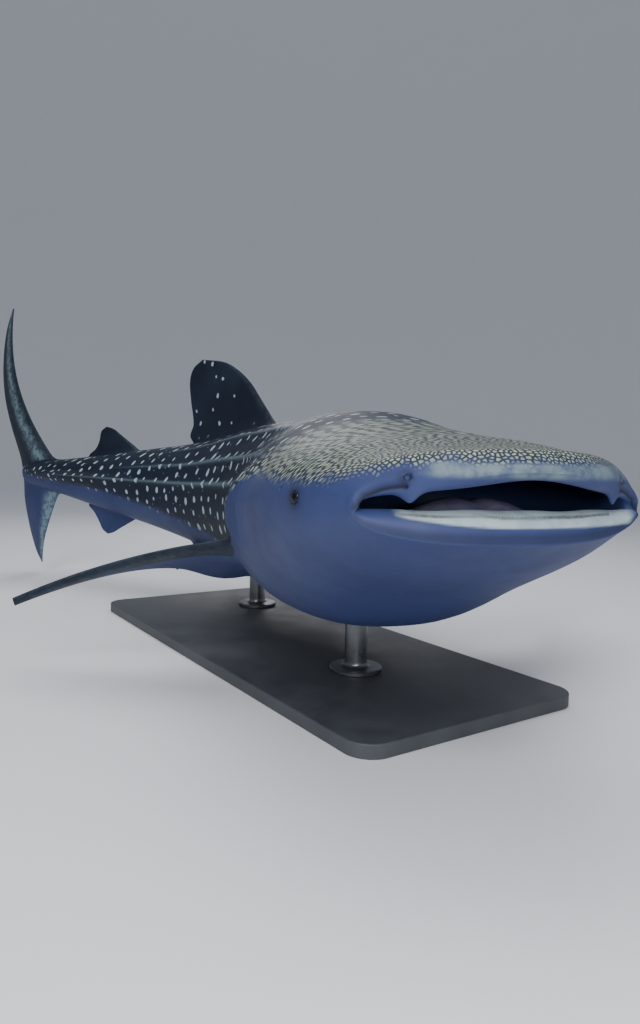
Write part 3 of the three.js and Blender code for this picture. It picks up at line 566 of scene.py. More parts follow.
def paired_fin(name, shape, sign, droop, sweep, part):
    down = math.radians(droop)
    tilt = math.radians(shape["pitch"])
    lead = curve(shape["lead"])

    def place(a, v, share, off):
        back = a + lead(1.0) * (sweep - 1) * share ** 1.5
        out = shape["across"] + shape["span"] * math.cos(down) * v + off * math.sin(down)
        fall = np.where(v > 0, np.maximum(v, 0) ** 1.4, v)
        twist = tilt * (1 - share) ** UNTWIST
        drop = shape["span"] * math.sin(down) * fall + (a - lead(share)) * np.sin(twist)
        s = shape["station"] + back
        z = shape["height"] - drop + off * math.cos(down)
        edge = (a - lead(share)) / np.maximum(curve(shape["trail"])(share) - lead(share), 1e-4)
        tone = np.where(off > 0, 0.15, -0.12) + 0.3 * (1 - step(edge, 0.06, 0.2 + 0.3 * share))
        return at(s, sign * out, z), s, LENGTH * out, tone

    return fin_surface(name, shape, place, part, 1.15)


def neighbours(mesh):
    pairs = np.zeros(2 * len(mesh.edges), np.int32)
    mesh.edges.foreach_get("vertices", pairs)
    pairs = pairs.reshape(-1, 2)
    return np.concatenate([pairs[:, 0], pairs[:, 1]]), np.concatenate([pairs[:, 1], pairs[:, 0]])


def spread(here, there, value, weight):
    """Weighted mean of each point's neighbours, with the sum of the weights."""
    total = np.bincount(here, weight[there], len(weight))
    sums = [np.bincount(here, weight[there] * value[there, i], len(weight))
            for i in range(value.shape[1])]
    return np.stack(sums, 1) / np.maximum(total, 1e-9)[:, None], total


FIELDS = ("cells", "rows", "station", "marks", "tone", "shadow", "fin", "ridge", "edge", "seam", "part")


def mend_fields(mesh):
    """Gives each point along a cut the mean values of its neighbours."""
    here, there = neighbours(mesh)
    known = (read_field(mesh, "part")[:, 0] > 0.5).astype(float)
    for key in FIELDS:
        value = read_field(mesh, key).astype(float)
        filled = known.copy()
        for _ in range(4):
            mean, total = spread(here, there, value, filled)
            grow = (filled == 0) & (total > 0)
            value[grow] = mean[grow]
            filled[grow] = 1
        write_field(mesh, key, value)


def blend_roots(mesh, seam):
    """Fillets the fin roots: points near a seam move to the mean of their neighbours."""
    here, there = neighbours(mesh)
    weight = seam.astype(float)
    for _ in range(5):
        near = np.zeros(len(weight))
        np.maximum.at(near, here, weight[there])
        weight = np.maximum(weight, 0.8 * near * (near > 0.3))
    write_field(mesh, "seam", weight[:, None])
    points = points_of(mesh).astype(float)
    for _ in range(14):
        mean, _total = spread(here, there, points, np.ones(len(weight)))
        points += 0.5 * np.minimum(weight, 1)[:, None] * (mean - points)
    mesh.vertices.foreach_set("co", points.astype(np.float32).ravel())


def combine(target, others, operation):
    """Joins or cuts closed meshes, then removes the ones that were used."""
    group = bpy.data.collections.new("operands")
    for other in others:
        bpy.context.scene.collection.objects.unlink(other)
        group.objects.link(other)
    change = target.modifiers.new("combine", "BOOLEAN")
    change.operation = operation
    change.operand_type = "COLLECTION"
    change.collection = group
    change.solver = "MANIFOLD"
    bpy.context.view_layer.update()
    shaped = target.evaluated_get(bpy.context.evaluated_depsgraph_get())
    mesh = bpy.data.meshes.new_from_object(shaped)
    target.modifiers.clear()
    old = target.data
    target.data = mesh
    bpy.data.meshes.remove(old)
    for other in others:
        bpy.data.objects.remove(other)
    bpy.data.collections.remove(group)
    set_smooth(mesh, True)


def ball(name, centre, radius, rows=24, columns=40):
    """Sphere about a centre, with its poles on the X axis."""
    lat = np.pi * np.arange(1, rows) / rows
    lon = 2 * np.pi * np.arange(columns) / columns
    x = np.cos(lat)[:, None] + 0 * lon
    y = np.sin(lat)[:, None] * np.cos(lon)
    z = np.sin(lat)[:, None] * np.sin(lon)
    ends = [centre + [radius, 0, 0], centre - [radius, 0, 0]]
    return grid_object(name, centre + radius * np.stack([x, y, z], -1), ends, {"part": 0 * x})


def middle_of(node):
    low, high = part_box(node)
    return (np.array(low) + np.array(high)) / 2


def half_size(node):
    low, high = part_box(node)
    return (np.array(high) - np.array(low)) / 2


def nearest_point(mesh, target):
    points = points_of(mesh)
    return points[np.argmin(np.linalg.norm(points - target, axis=1))].astype(float)


# Materials.
def put(tree, kind, inputs=(), **settings):
    """Adds a node, sets its settings and fills its inputs with values or links."""
    node = tree.nodes.new(kind)
    for key, value in settings.items():
        setattr(node, key, value)
    for key, value in inputs.items() if isinstance(inputs, dict) else enumerate(inputs):
        if isinstance(value, bpy.types.NodeSocket):
            tree.links.new(value, node.inputs[key])
        elif value is not None:
            node.inputs[key].default_value = value
    return node


def maths(tree, operation, *values):
    return put(tree, "ShaderNodeMath", values, operation=operation).outputs[0]


def multiply(tree, first, second):
    return maths(tree, "MULTIPLY", first, second)


def vector_maths(tree, operation, *values):
    return put(tree, "ShaderNodeVectorMath", values, operation=operation).outputs[0]


def voronoi(tree, vector, scale, uneven, feature="F1"):
    return put(tree, "ShaderNodeTexVoronoi", {"Vector": vector, "Scale": scale, "Randomness": uneven},
               voronoi_dimensions="2D", feature=feature).outputs


def chances(tree, spot):
    """Three values by chance for each cell of a Voronoi pattern, from its colour."""
    return put(tree, "ShaderNodeSeparateColor", [spot["Color"]]).outputs


def ramp(tree, value, low, high, start=0.0, end=1.0):
    """Smooth rise of a value from start to end between low and high."""
    node = put(tree, "ShaderNodeMapRange", {"Value": value, "From Min": low, "From Max": high,
                                            "To Min": start, "To Max": end},
               interpolation_type="SMOOTHSTEP")
    return node.outputs[0]


def blend(tree, share, first, second):
    node = put(tree, "ShaderNodeMix", {0: share, 6: first, 7: second}, data_type="RGBA")
    return node.outputs[2]


def blend_value(tree, share, first, second):
    node = put(tree, "ShaderNodeMix", {0: share, 2: first, 3: second}, data_type="FLOAT")
    return node.outputs[0]


def vector_of(tree, key):
    return put(tree, "ShaderNodeAttribute", attribute_name=key).outputs["Vector"]


def value_of(tree, key):
    return put(tree, "ShaderNodeAttribute", attribute_name=key).outputs["Fac"]


def noise(tree, vector, scale, detail=3.0, rough=0.55):
    node = put(tree, "ShaderNodeTexNoise", {"Vector": vector, "Scale": scale, "Detail": detail,
                                            "Roughness": rough})
    return node.outputs["Fac"]


def colour(rgb):
    return (*rgb, 1.0)


def grain_group():
    """Fine grain shared by every finish: a mask of blotches and a normal of small bumps."""
    tree = bpy.data.node_groups.new("Fine Grain", "ShaderNodeTree")
    tree.interface.new_socket("Vector", in_out="INPUT", socket_type="NodeSocketVector")
    for name, value in (("Blotch Scale", 3.0), ("Bump Scale", 300.0), ("Bump", 0.1),
                        ("Distance", 0.001)):
        socket = tree.interface.new_socket(name, in_out="INPUT", socket_type="NodeSocketFloat")
        socket.default_value = value
    tree.interface.new_socket("Mask", in_out="OUTPUT", socket_type="NodeSocketFloat")
    tree.interface.new_socket("Normal", in_out="OUTPUT", socket_type="NodeSocketVector")
    source = tree.nodes.new("NodeGroupInput")
    target = tree.nodes.new("NodeGroupOutput")
    blotch = noise(tree, source.outputs["Vector"], source.outputs["Blotch Scale"], 5.0, 0.6)
    small = noise(tree, source.outputs["Vector"], source.outputs["Bump Scale"], 2.0)
    bump = put(tree, "ShaderNodeBump", {"Strength": source.outputs["Bump"],
                                        "Distance": source.outputs["Distance"], "Height": small})
    tree.links.new(blotch, target.inputs["Mask"])
    tree.links.new(bump.outputs[0], target.inputs["Normal"])
    return tree


def new_material(name):
    made = bpy.data.materials.new(name)
    made.use_nodes = True
    tree = made.node_tree
    shader = tree.nodes["Principled BSDF"]
    place = tree.nodes.new("ShaderNodeTexCoord").outputs["Object"]
    return made, tree, shader, place


def grain(tree, place, blotch, bump, strength, distance):
    group = bpy.data.node_groups.get("Fine Grain") or grain_group()
    node = tree.nodes.new("ShaderNodeGroup")
    node.node_tree = group
    tree.links.new(place, node.inputs["Vector"])
    node.inputs["Blotch Scale"].default_value = blotch
    node.inputs["Bump Scale"].default_value = bump
    node.inputs["Bump"].default_value = strength
    node.inputs["Distance"].default_value = distance
    return node.outputs["Mask"], node.outputs["Normal"]


# Patterns of the skin, in spacings of spots: widths of the ovals and edges of the soft steps.
NET = (0.12, 0.32)
TRUNK_OVAL = (0.115, 0.25)
FIN_DOT = (0.13, 0.15)
FIN_CHANCE = (0.58, 0.62)
SPECK = (0.13, 0.06)
SPECK_CHANCE = (0.82, 0.86)
WOBBLE = 0.35

# Stations in metres where the trunk's pattern passes into the head's, and its shift on the crest.
HEAD_STARTS = (1.52, 1.22)
CREST_SHIFT = 1.3


def oval_mask(tree, here, spot, wide, tall, size, soft):
    """Oval about the nearest cell centre: 1 where hypot(dx / wide, dy / tall) is under size."""
    gap = vector_maths(tree, "SUBTRACT", here, spot["Position"])
    gap = vector_maths(tree, "MULTIPLY", gap, (1 / wide, 1 / tall, 0))
    reach = put(tree, "ShaderNodeVectorMath", [gap], operation="LENGTH").outputs["Value"]
    return ramp(tree, maths(tree, "SUBTRACT", reach, size), soft, -soft)


def spot_masks(tree, place):
    """Masks of the close head spots, the rows of trunk ovals and the few small fin spots."""
    wobble = put(tree, "ShaderNodeTexNoise", {"Vector": place, "Scale": 9.0, "Detail": 2.0})
    jitter = vector_maths(tree, "SUBTRACT", wobble.outputs["Color"], (0.5, 0.5, 0.5))
    soft = put(tree, "ShaderNodeVectorMath", {0: jitter, "Scale": WOBBLE}, operation="SCALE").outputs[0]
    cells = vector_maths(tree, "ADD", vector_of(tree, "cells"), soft)
    rows = vector_maths(tree, "ADD", vector_of(tree, "rows"), soft)
    head = ramp(tree, voronoi(tree, cells, 1.0, 0.75, "DISTANCE_TO_EDGE")["Distance"], *NET)
    spot = voronoi(tree, rows, 1.0, 0.42)
    size = maths(tree, "MULTIPLY_ADD", chances(tree, spot)[0], 0.5, 0.65)
    trunk = oval_mask(tree, rows, spot, *TRUNK_OVAL, size, 0.22)
    lone = voronoi(tree, rows, 1.0, 0.9)
    lot = chances(tree, lone)
    few = oval_mask(tree, rows, lone, *FIN_DOT, maths(tree, "MULTIPLY_ADD", lot[0], 0.5, 0.55), 0.25)
    few = multiply(tree, few, ramp(tree, lot[1], *FIN_CHANCE))
    small = voronoi(tree, rows, 2.1, 0.95)
    speck = ramp(tree, small["Distance"], *SPECK)
    speck = multiply(tree, speck, ramp(tree, chances(tree, small)[1], *SPECK_CHANCE, 0.0, 0.5))
    return head, maths(tree, "MAXIMUM", trunk, speck), few


def skin_material(look):
    """Slate back, cream spots, pale blue belly, bright lips, a dark mouth, painted highlights and shade.
    """
    made, tree, shader, place = new_material("shark_skin")
    mask = grain(tree, place, 2.2, 420.0, 0.25, 0.0012)[0]
    fine = noise(tree, place, 26.0, 4.0)
    head, trunk, few = spot_masks(tree, place)
    tone = value_of(tree, "tone")
    fin = value_of(tree, "fin")
    station = maths(tree, "ADD", value_of(tree, "station"), maths(tree, "MULTIPLY_ADD", fine, 0.24, -0.12))
    station = maths(tree, "MULTIPLY_ADD", tone, CREST_SHIFT, station)
    on_head = ramp(tree, station, *HEAD_STARTS)
    on_fin = ramp(tree, fin, 0.4, 0.9)
    trunk = blend_value(tree, on_fin, trunk, few)
    trunk = multiply(tree, trunk, ramp(tree, fin, 1.95, 1.6))
    spots = blend_value(tree, on_head, trunk, head)
    spots = multiply(tree, spots, ramp(tree, mask, 0.25, 0.55, 0.68, 1.0))
    spots = multiply(tree, spots, ramp(tree, value_of(tree, "seam"), 0.25, 0.7, 1.0, 0.0))
    deep = blend(tree, ramp(tree, mask, 0.35, 0.7), colour(look.back), colour(look.back_light))
    deep = blend(tree, on_head, deep, colour(look.head_back))
    # Painted highlight: pale lines on the ridge crests.
    crest = multiply(tree, value_of(tree, "ridge"), 0.55)
    deep = blend(tree, crest, deep, colour(look.highlight_streak))
    white = blend(tree, on_head, colour(look.trunk_spots), colour(look.head_spots))
    back = blend(tree, spots, deep, white)
    under = blend(tree, ramp(tree, mask, 0.3, 0.72), colour(look.belly), colour(look.belly_shade))
    line = maths(tree, "ADD", tone, maths(tree, "MULTIPLY_ADD", fine, 0.07, -0.035))
    skin = blend(tree, ramp(tree, line, -0.02, 0.035), under, back)
    # Painted highlight: pale sheen streak along the fins' leading edges.
    highlight_streak = multiply(tree, value_of(tree, "edge"), ramp(tree, fine, 0.42, 0.58, 0.35, 1.0))
    skin = blend(tree, highlight_streak, skin, colour(look.highlight_streak))
    marks = put(tree, "ShaderNodeSeparateXYZ", [vector_of(tree, "marks")]).outputs
    patch = ramp(tree, noise(tree, place, 16.0, 5.0), 0.35, 0.65, 0.3, 1.0)
    skin = blend(tree, multiply(tree, marks[1], patch), skin, colour(look.upper_lip))
    lip = multiply(tree, marks[0], ramp(tree, noise(tree, place, 18.0, 5.0), 0.2, 0.6, 0.7, 1.0))
    skin = blend(tree, lip, skin, colour(look.lower_lip))
    skin = blend(tree, marks[2], skin, colour(look.mouth))
    # Painted shade: darkens the furrow, the eye's and nostril's rims, the fold under the lip and the
    # teeth.
    skin = blend(tree, multiply(tree, value_of(tree, "shadow"), 0.9), skin, colour(look.fold))
    height = noise(tree, place, 38.0, 4.0)
    height = maths(tree, "MULTIPLY_ADD", noise(tree, place, 420.0, 2.0), 0.35, height)
    bump = put(tree, "ShaderNodeBump", {"Strength": 0.35, "Distance": 0.0022, "Height": height})
    tree.links.new(skin, shader.inputs["Base Color"])
    tree.links.new(ramp(tree, mask, 0.3, 0.7, 0.50, 0.62), shader.inputs["Roughness"])
    tree.links.new(bump.outputs[0], shader.inputs["Normal"])
    shader.inputs["Specular IOR Level"].default_value = 0.3
    return made


# Plain finishes: roughness, metal, blotches and bumps per metre, and the bumps' strength and depth.
FINISHES = {
    "tongue_flesh": {"rough": 0.4, "metal": 0.0, "grain": (14.0, 160.0, 0.4, 0.002)},
    "tooth": {"rough": 0.35, "metal": 0.0, "grain": (90.0, 600.0, 0.2, 0.0005)},
    "plate_paint": {"rough": 0.55, "metal": 0.0, "grain": (6.0, 500.0, 0.15, 0.0006)},
    "rod_steel": {"rough": 0.32, "metal": 0.85, "grain": (9.0, 700.0, 0.08, 0.0004)},
    "floor_paint": {"rough": 0.8, "metal": 0.0, "grain": (2.0, 60.0, 0.02, 0.0005)},
}


def plain_material(name, first, second):
    """Finish with soft blotches between two colours and a fine bumpy grain."""
    made, tree, shader, place = new_material(name)
    rough = FINISHES[name]["rough"]
    mask, normal = grain(tree, place, *FINISHES[name]["grain"])
    tint = blend(tree, ramp(tree, mask, 0.35, 0.65), colour(first), colour(second))
    tree.links.new(tint, shader.inputs["Base Color"])
    tree.links.new(ramp(tree, mask, 0.3, 0.7, rough - 0.06, rough + 0.06), shader.inputs["Roughness"])
    tree.links.new(normal, shader.inputs["Normal"])
    shader.inputs["Metallic"].default_value = FINISHES[name]["metal"]
    return made


def eye_material(look):
    """Wet dark eye: black pupil, dull bronze iris with fine spokes, dark rim."""
    made, tree, shader, place = new_material("shark_eye")
    turn = value_of(tree, "gaze")
    spokes = noise(tree, place, 220.0, 3.0)
    iris = blend(tree, ramp(tree, spokes, 0.35, 0.7), colour(look.iris), (0.004, 0.004, 0.005, 1))
    tint = blend(tree, ramp(tree, turn, 0.42, 0.48), (0.002, 0.002, 0.003, 1), iris)
    tint = blend(tree, ramp(tree, turn, 0.72, 0.84), tint, (0.006, 0.008, 0.014, 1))
    tree.links.new(tint, shader.inputs["Base Color"])
    shader.inputs["Roughness"].default_value = 0.12
    shader.inputs["Specular IOR Level"].default_value = 0.22
    return made


def finish_piece(piece, material, slot, *nodes):
    """Gives a piece its material and body and hides the model's nodes it stands for; slot is not used."""
    piece.data.materials.clear()
    piece.data.materials.append(material)
    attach(piece, BODY)
    if nodes:
        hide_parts(*nodes)


# Sizes and colours that a user would change.
def rgb(name, text, value):
    return FloatVectorProperty(name=name, description=text, default=value, size=3, min=0.0,
                               max=1.0, subtype="COLOR")


class SharkLook(PropertyGroup):
    """Colours of the animal and resolution of its skin."""
    columns: IntProperty(name="Columns", description="Points round the body", default=300,
                         min=64, max=400)
    back: rgb("Back", "Dark of the back", (0.003, 0.007, 0.018))
    back_light: rgb("Back light", "Lighter blotches of the back", (0.007, 0.014, 0.032))
    head_back: rgb("Head back", "Dark net between the head spots", (0.006, 0.014, 0.027))
    # Colour of the painted highlights: pale lines on the ridge crests and sheen along the fins' edges.
    highlight_streak: rgb("Streak", "Pale ridge lines and leading edges", (0.17, 0.25, 0.29))
    head_spots: rgb("Head spots", "Close spots of the head", (0.31, 0.35, 0.28))
    trunk_spots: rgb("Trunk spots", "Spots of the trunk and fins", (0.36, 0.44, 0.49))
    belly: rgb("Belly", "Pale underside", (0.034, 0.050, 0.145))
    belly_shade: rgb("Belly shade", "Darker blotches of the underside", (0.024, 0.036, 0.112))
    upper_lip: rgb("Upper lip", "Pale band over the mouth", (0.14, 0.19, 0.215))
    lower_lip: rgb("Lower lip", "Bright band under the mouth", (0.36, 0.45, 0.48))
    mouth: rgb("Mouth", "Inside of the mouth", (0.022, 0.038, 0.100))
    # Colour of the painted shade in the furrow, round the eye and nostril, under the lip and at the teeth.
    fold: rgb("Fold", "Bottom of the folds and rim of the eye", (0.003, 0.005, 0.013))
    tongue: rgb("Tongue", "Tongue and mouth floor", (0.25, 0.23, 0.36))
    teeth: rgb("Teeth", "Small teeth", (0.16, 0.19, 0.19))
    iris: rgb("Iris", "Ring round the pupil", (0.002, 0.002, 0.003))


class StandLook(PropertyGroup):
    """Colours of the stand."""
    plate: rgb("Plate", "Painted base plate", (0.045, 0.050, 0.058))
    plate_light: rgb("Plate light", "Lighter blotches of the plate", (0.060, 0.066, 0.075))
    rod: rgb("Rod", "Satin metal of the rods", (0.16, 0.17, 0.18))
    bevel: FloatProperty(name="Bevel", description="Rounded edge of the plate", default=0.006,
                         min=0.001, max=0.02, unit="LENGTH")


class StudioLook(PropertyGroup):
    """Camera and light."""
    lens: FloatProperty(name="Lens", description="Focal length", default=24.83, min=10, max=200,
                        unit="CAMERA")
    pitch: FloatProperty(name="Pitch", description="Downward tilt of the view",
                         default=math.radians(4.191), subtype="ANGLE")
    roll: FloatProperty(name="Roll", description="Turn of the picture",
                        default=math.radians(1.337), subtype="ANGLE")
    facing: FloatProperty(name="Facing", description="Side of the animal that the view meets",
                          default=math.radians(33.944), subtype="ANGLE")
    floor: rgb("Floor", "Pale floor", (0.80, 0.81, 0.83))
    key: FloatProperty(name="Key light", description="Power of the main lamp", default=430.0,
                       min=0.0, subtype="POWER", unit="POWER")


class WHALE_SHARK_OT_skin(Operator):
    """Body, fins and lips as one closed skin."""
    bl_idname = "whale_shark.skin"
    bl_label = "Skin"

    def execute(self, context):
        look = context.scene.shark_look
        skin = body_surface(look.columns)
        fins = [mid_fin(name, shape, 2.0) for name, shape in MID_FINS.items()]
        fins += [tail_lobe(name, shape, 3.0) for name, shape in LOBES.items()]
        fins += [paired_fin(name, shape, sign, droop, sweep, 4.0)
                 for name, shape, sign, droop, sweep in PAIRED]
        combine(skin, fins, "UNION")
        seam = read_field(skin.data, "part")[:, 0] < 0.5
        mend_fields(skin.data)
        blend_roots(skin.data, seam)
        pits = [ball(f"socket_{side}", middle_of(f"eye_{side}"), half_size(f"eye_{side}")[0] + 0.0015)
                for side in ("right", "left")]
        for sign in (-1, 1):
            for (s, y, z), radius in ((NOSTRIL, 0.011), (SPIRACLE, 0.008)):
                centre = nearest_point(skin.data, at(s, sign * y, z))
                pits.append(ball("pit", centre, radius, 16, 20))
        combine(skin, pits, "DIFFERENCE")
        mend_fields(skin.data)
        finish_piece(skin, skin_material(look), "skin", *FLESH)
        return {"FINISHED"}


class WHALE_SHARK_OT_eyes(Operator):
    """Eyeballs in their sockets."""
    bl_idname = "whale_shark.eyes"
    bl_label = "Eyes"

    def execute(self, context):
        material = eye_material(context.scene.shark_look)
        for side, sign in (("right", -1), ("left", 1)):
            node = f"eye_{side}"
            centre = middle_of(node)
            radius = half_size(node)[0]
            eye = ball(f"eyeball_{side}", centre, radius, 40, 64)
            gaze = at(0.055, sign * 0.10, 0.004) - at(0.062, 0.0, 0.0027)
            toward = (points_of(eye.data) - centre) @ (gaze / np.linalg.norm(gaze)) / radius
            write_field(eye.data, "gaze", np.arccos(np.clip(toward, -1, 1))[:, None])
            finish_piece(eye, material, "eye", node)
        return {"FINISHED"}


class WHALE_SHARK_OT_mouth(Operator):
    """Tongue and the bands of small teeth."""
    bl_idname = "whale_shark.mouth"
    bl_label = "Mouth"

    def execute(self, context):
        look = context.scene.shark_look
        flesh = plain_material("tongue_flesh", look.tongue, (0.16, 0.15, 0.26))
        finish_piece(tongue_surface(), flesh, "mouth_lining", "tongue")
        enamel = plain_material("tooth", look.teeth, (0.07, 0.08, 0.08))
        finish_piece(tooth_bands(), enamel, "mouth_lining")
        return {"FINISHED"}


class WHALE_SHARK_OT_stand(Operator):
    """Base plate and the two rods."""
    bl_idname = "whale_shark.stand"
    bl_label = "Stand"

    def execute(self, context):
        look = context.scene.stand_look
        plate = plain_material("plate_paint", look.plate, look.plate_light)
        steel = plain_material("rod_steel", look.rod, (0.20, 0.21, 0.22))
        finish_piece(plate_surface(look.bevel), plate, "stand", "stand_base")
        for node in ("stand_rod_front", "stand_rod_rear"):
            finish_piece(rod_surface(node), steel, "rod", node)
        return {"FINISHED"}


class WHALE_SHARK_OT_stage(Operator):
    """Floor, lamps, sky and camera."""
    bl_idname = "whale_shark.stage"
    bl_label = "Stage"

    def execute(self, context):
        look = context.scene.studio_look
        set_camera(context, look)
        set_floor(look)
        set_lights(context, look)
        return {"FINISHED"}


class WHALE_SHARK_PT_panel(Panel):
    """Lists the steps that build the model."""
    bl_idname = "WHALE_SHARK_PT_panel"
    bl_label = "Whale Shark"
    bl_space_type = "VIEW_3D"
    bl_region_type = "UI"
    bl_category = "Shark"

    def draw(self, context):
        for step_class in STEPS:
            self.layout.operator(step_class.bl_idname)


TONGUE = {"station": 0.058, "length": 0.056, "width": 0.034, "height": 0.0215, "lift": -0.0175}

# Teeth: radius and sink in metres, height and hook as shares, rows of the lips where they start.
TEETH = {"count": 118, "rows": 4, "spread": 0.8, "gap": 0.07, "upper": 4.6, "lower": 2.95,
         "height": 0.0011, "hook": 0.0004, "radius": 0.0018, "sink": 0.004}


def tongue_surface():
    """Low pad: half an oval across and along, with a shallow groove down its middle."""
    rows = 40
    columns = 64
    along = np.pi * np.arange(1, rows) / rows
    around = 2 * np.pi * np.arange(columns) / columns
    swell = np.sin(along)[:, None] ** 0.8
    y = TONGUE["width"] * swell * np.cos(around)
    rise = np.where(np.sin(around) > 0, np.abs(np.sin(around)) ** 0.75, 0.3 * np.sin(around))
    groove = 1 - 0.10 * bell(y, 0.004)
    z = TONGUE["lift"] + TONGUE["height"] * swell * rise * groove
    s = TONGUE["station"] - TONGUE["length"] / 2 * np.cos(along)[:, None] + 0 * y
    ends = [at(TONGUE["station"] - sign * TONGUE["length"] / 2, 0.0, TONGUE["lift"]) for sign in (1, -1)]
    return grid_object("tongue_pad", at(s, y, z), ends)


def tooth_bands():
    """Rows of small hooked cones along the lower lip's inner edge and under the upper lip."""
    turn = np.linspace(-TEETH["spread"], TEETH["spread"], TEETH["count"])[None, :, None]
    row = np.arange(TEETH["rows"])[:, None, None]
    stagger = turn + 0.5 * (row % 2) * (turn[0, 1, 0] - turn[0, 0, 0])
    vertices = []
    faces = []
    for upper in (False, True):
        depth = TEETH["upper" if upper else "lower"] + TEETH["gap"] * row
        station, side, top, height, low, deep = mouth_shape(depth)
        centre = np.cos(stagger)
        s = station + ((top if upper else low) - station) * centre ** LEAN
        power = ROUNDNESS(s)
        y = side * np.sign(np.sin(stagger)) * np.abs(np.sin(stagger)) ** power
        arch = LIP_ARCH["rise"] * bell(y, LIP_ARCH["spread"])
        z = height * centre ** CROWN(s) + arch if upper else -deep * centre ** power
        root = at(s, y, z).reshape(-1, 3)
        sign = -1.0 if upper else 1.0
        tip = at(s + TEETH["hook"], y, z + sign * TEETH["height"]).reshape(-1, 3)
        corner = 2 * np.pi * np.arange(5) / 5
        ring = TEETH["radius"] * np.stack([np.cos(corner), np.sin(corner), 0 * corner], 1)
        base = root[:, None, :] + ring - sign * np.array([0, 0, TEETH["sink"]])
        blocks = np.concatenate([base, tip[:, None, :]], 1)
        start = sum(len(v) for v in vertices) + 6 * np.arange(len(blocks))[:, None, None]
        k = np.arange(5)
        sides = np.stack([k, (k + 1) % 5, np.full(5, 5)], 1)
        caps = np.array([[0, 4, 3], [0, 3, 2], [0, 2, 1]])
        shape = np.vstack([sides, caps])
        faces.append((start + (shape[:, ::-1] if upper else shape)).reshape(-1, 3))
        vertices.append(blocks.reshape(-1, 3))
    mesh = bpy.data.meshes.new("teeth")
    mesh.from_pydata(np.vstack(vertices).tolist(), [], np.vstack(faces).tolist())
    mesh.update()
    return add_object("teeth", mesh)


# Corner of the plate, and the rod's shaft, foot ring and fillet, in metres.
PLATE_CORNER = 0.12
ROD = {"radius": 0.055, "fillet": 0.023, "ring": 0.022, "edge": 0.004}


def plate_surface(bevel):
    """Rounded rectangle carried up a quarter-round edge, closed at the middle top and bottom."""
    low, high = (np.array(v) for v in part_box("stand_base"))
    half = (high[:2] - low[:2]) / 2
    corner = PLATE_CORNER
    turn = np.linspace(0, 2 * np.pi, 161)[:-1]
    inner = half - corner
    centre = np.stack([inner[0] * np.sign(np.cos(turn)), inner[1] * np.sign(np.sin(turn))], 1)
    centre[np.abs(centre) < 1e-9] = 0
    bend = np.linspace(0, np.pi / 2, 6)
    inset = np.concatenate([[0.4, 0.02], bevel * (1 - np.sin(bend)), bevel * (1 - np.cos(bend)),
                            [0.02, 0.4]])
    level = np.concatenate([[0, 0], bevel * (1 - np.cos(bend)), high[2] - bevel + bevel * np.sin(bend),
                            [high[2], high[2]]])
    reach = np.maximum(corner - inset, 0)[:, None]
    shrink = np.maximum(inset - corner, 0)[:, None]
    x = centre[:, 0] - np.sign(centre[:, 0]) * shrink + reach * np.cos(turn)
    y = centre[:, 1] - np.sign(centre[:, 1]) * shrink + reach * np.sin(turn)
    points = np.stack([x, y, level[:, None] + 0 * x], -1)
    ends = [np.array([0, 0, 0.0]), np.array([0, 0, high[2]])]
    plate = grid_object("stand_plate", points, ends)
    set_smooth(plate.data, False)
    return plate


def rod_surface(node):
    """Turned rod: a foot ring with a hollow fillet, then a straight shaft up into the belly."""
    low, high = (np.array(v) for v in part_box(node))
    centre = (low + high) / 2
    foot = (high[0] - low[0]) / 2
    bend = np.linspace(0, np.pi / 2, 7)
    ring = foot - ROD["edge"]
    profile = [(0.02, 0), (ring, 0), (foot, ROD["edge"]), (foot, ROD["ring"] - ROD["edge"]),
               (ring, ROD["ring"]), (ROD["radius"] + ROD["fillet"], ROD["ring"])]
    profile += list(zip(ROD["radius"] + ROD["fillet"] * (1 - np.sin(bend)),
                        ROD["ring"] + ROD["fillet"] * (1 - np.cos(bend))))
    profile += [(ROD["radius"], 0.06), (ROD["radius"], high[2] - low[2])]
    radius, level = np.array(profile, float).T
    turn = 2 * np.pi * np.arange(96) / 96
    points = np.stack([centre[0] + radius[:, None] * np.cos(turn),
                       centre[1] + radius[:, None] * np.sin(turn),
                       low[2] + level[:, None] + 0 * turn], -1)
    ends = [np.array([centre[0], centre[1], low[2]]), np.array([centre[0], centre[1], high[2]])]
    rod = grid_object(node.replace("stand_", ""), points, ends)
    rod.data.set_sharp_from_angle(angle=math.radians(40))
    return rod


# Camera place from the snout, along the view's right, up and depth, as shares of the length.
VIEW_FROM_SNOUT = (0.08206, -0.01815, 0.26084)


def set_camera(context, look):
    """Camera at the photographed angle: its place is the snout less the snout's place in view."""
    c, s = math.cos(look.facing), math.sin(look.facing)
    right = np.array([s, c, 0])
    depth = np.array([-c, s, 0])
    up = np.array([0, 0, 1.0])
    x, y, z = VIEW_FROM_SNOUT
    place = SNOUT - LENGTH * (x * right + y * up + z * depth)
    forward = depth * math.cos(look.pitch) - up * math.sin(look.pitch)
    top = np.cross(right, forward)
    turned = math.cos(look.roll) * right + math.sin(look.roll) * top
    top = np.cross(turned, forward)
    data = bpy.data.cameras.new("camera")
    data.lens = look.lens
    data.sensor_width = 36
    data.clip_end = 200
    camera = add_object("camera", data)
    rows = np.column_stack([turned, top, -forward, place])
    camera.matrix_world = Matrix([*rows.tolist(), [0, 0, 0, 1]])
    context.scene.camera = camera


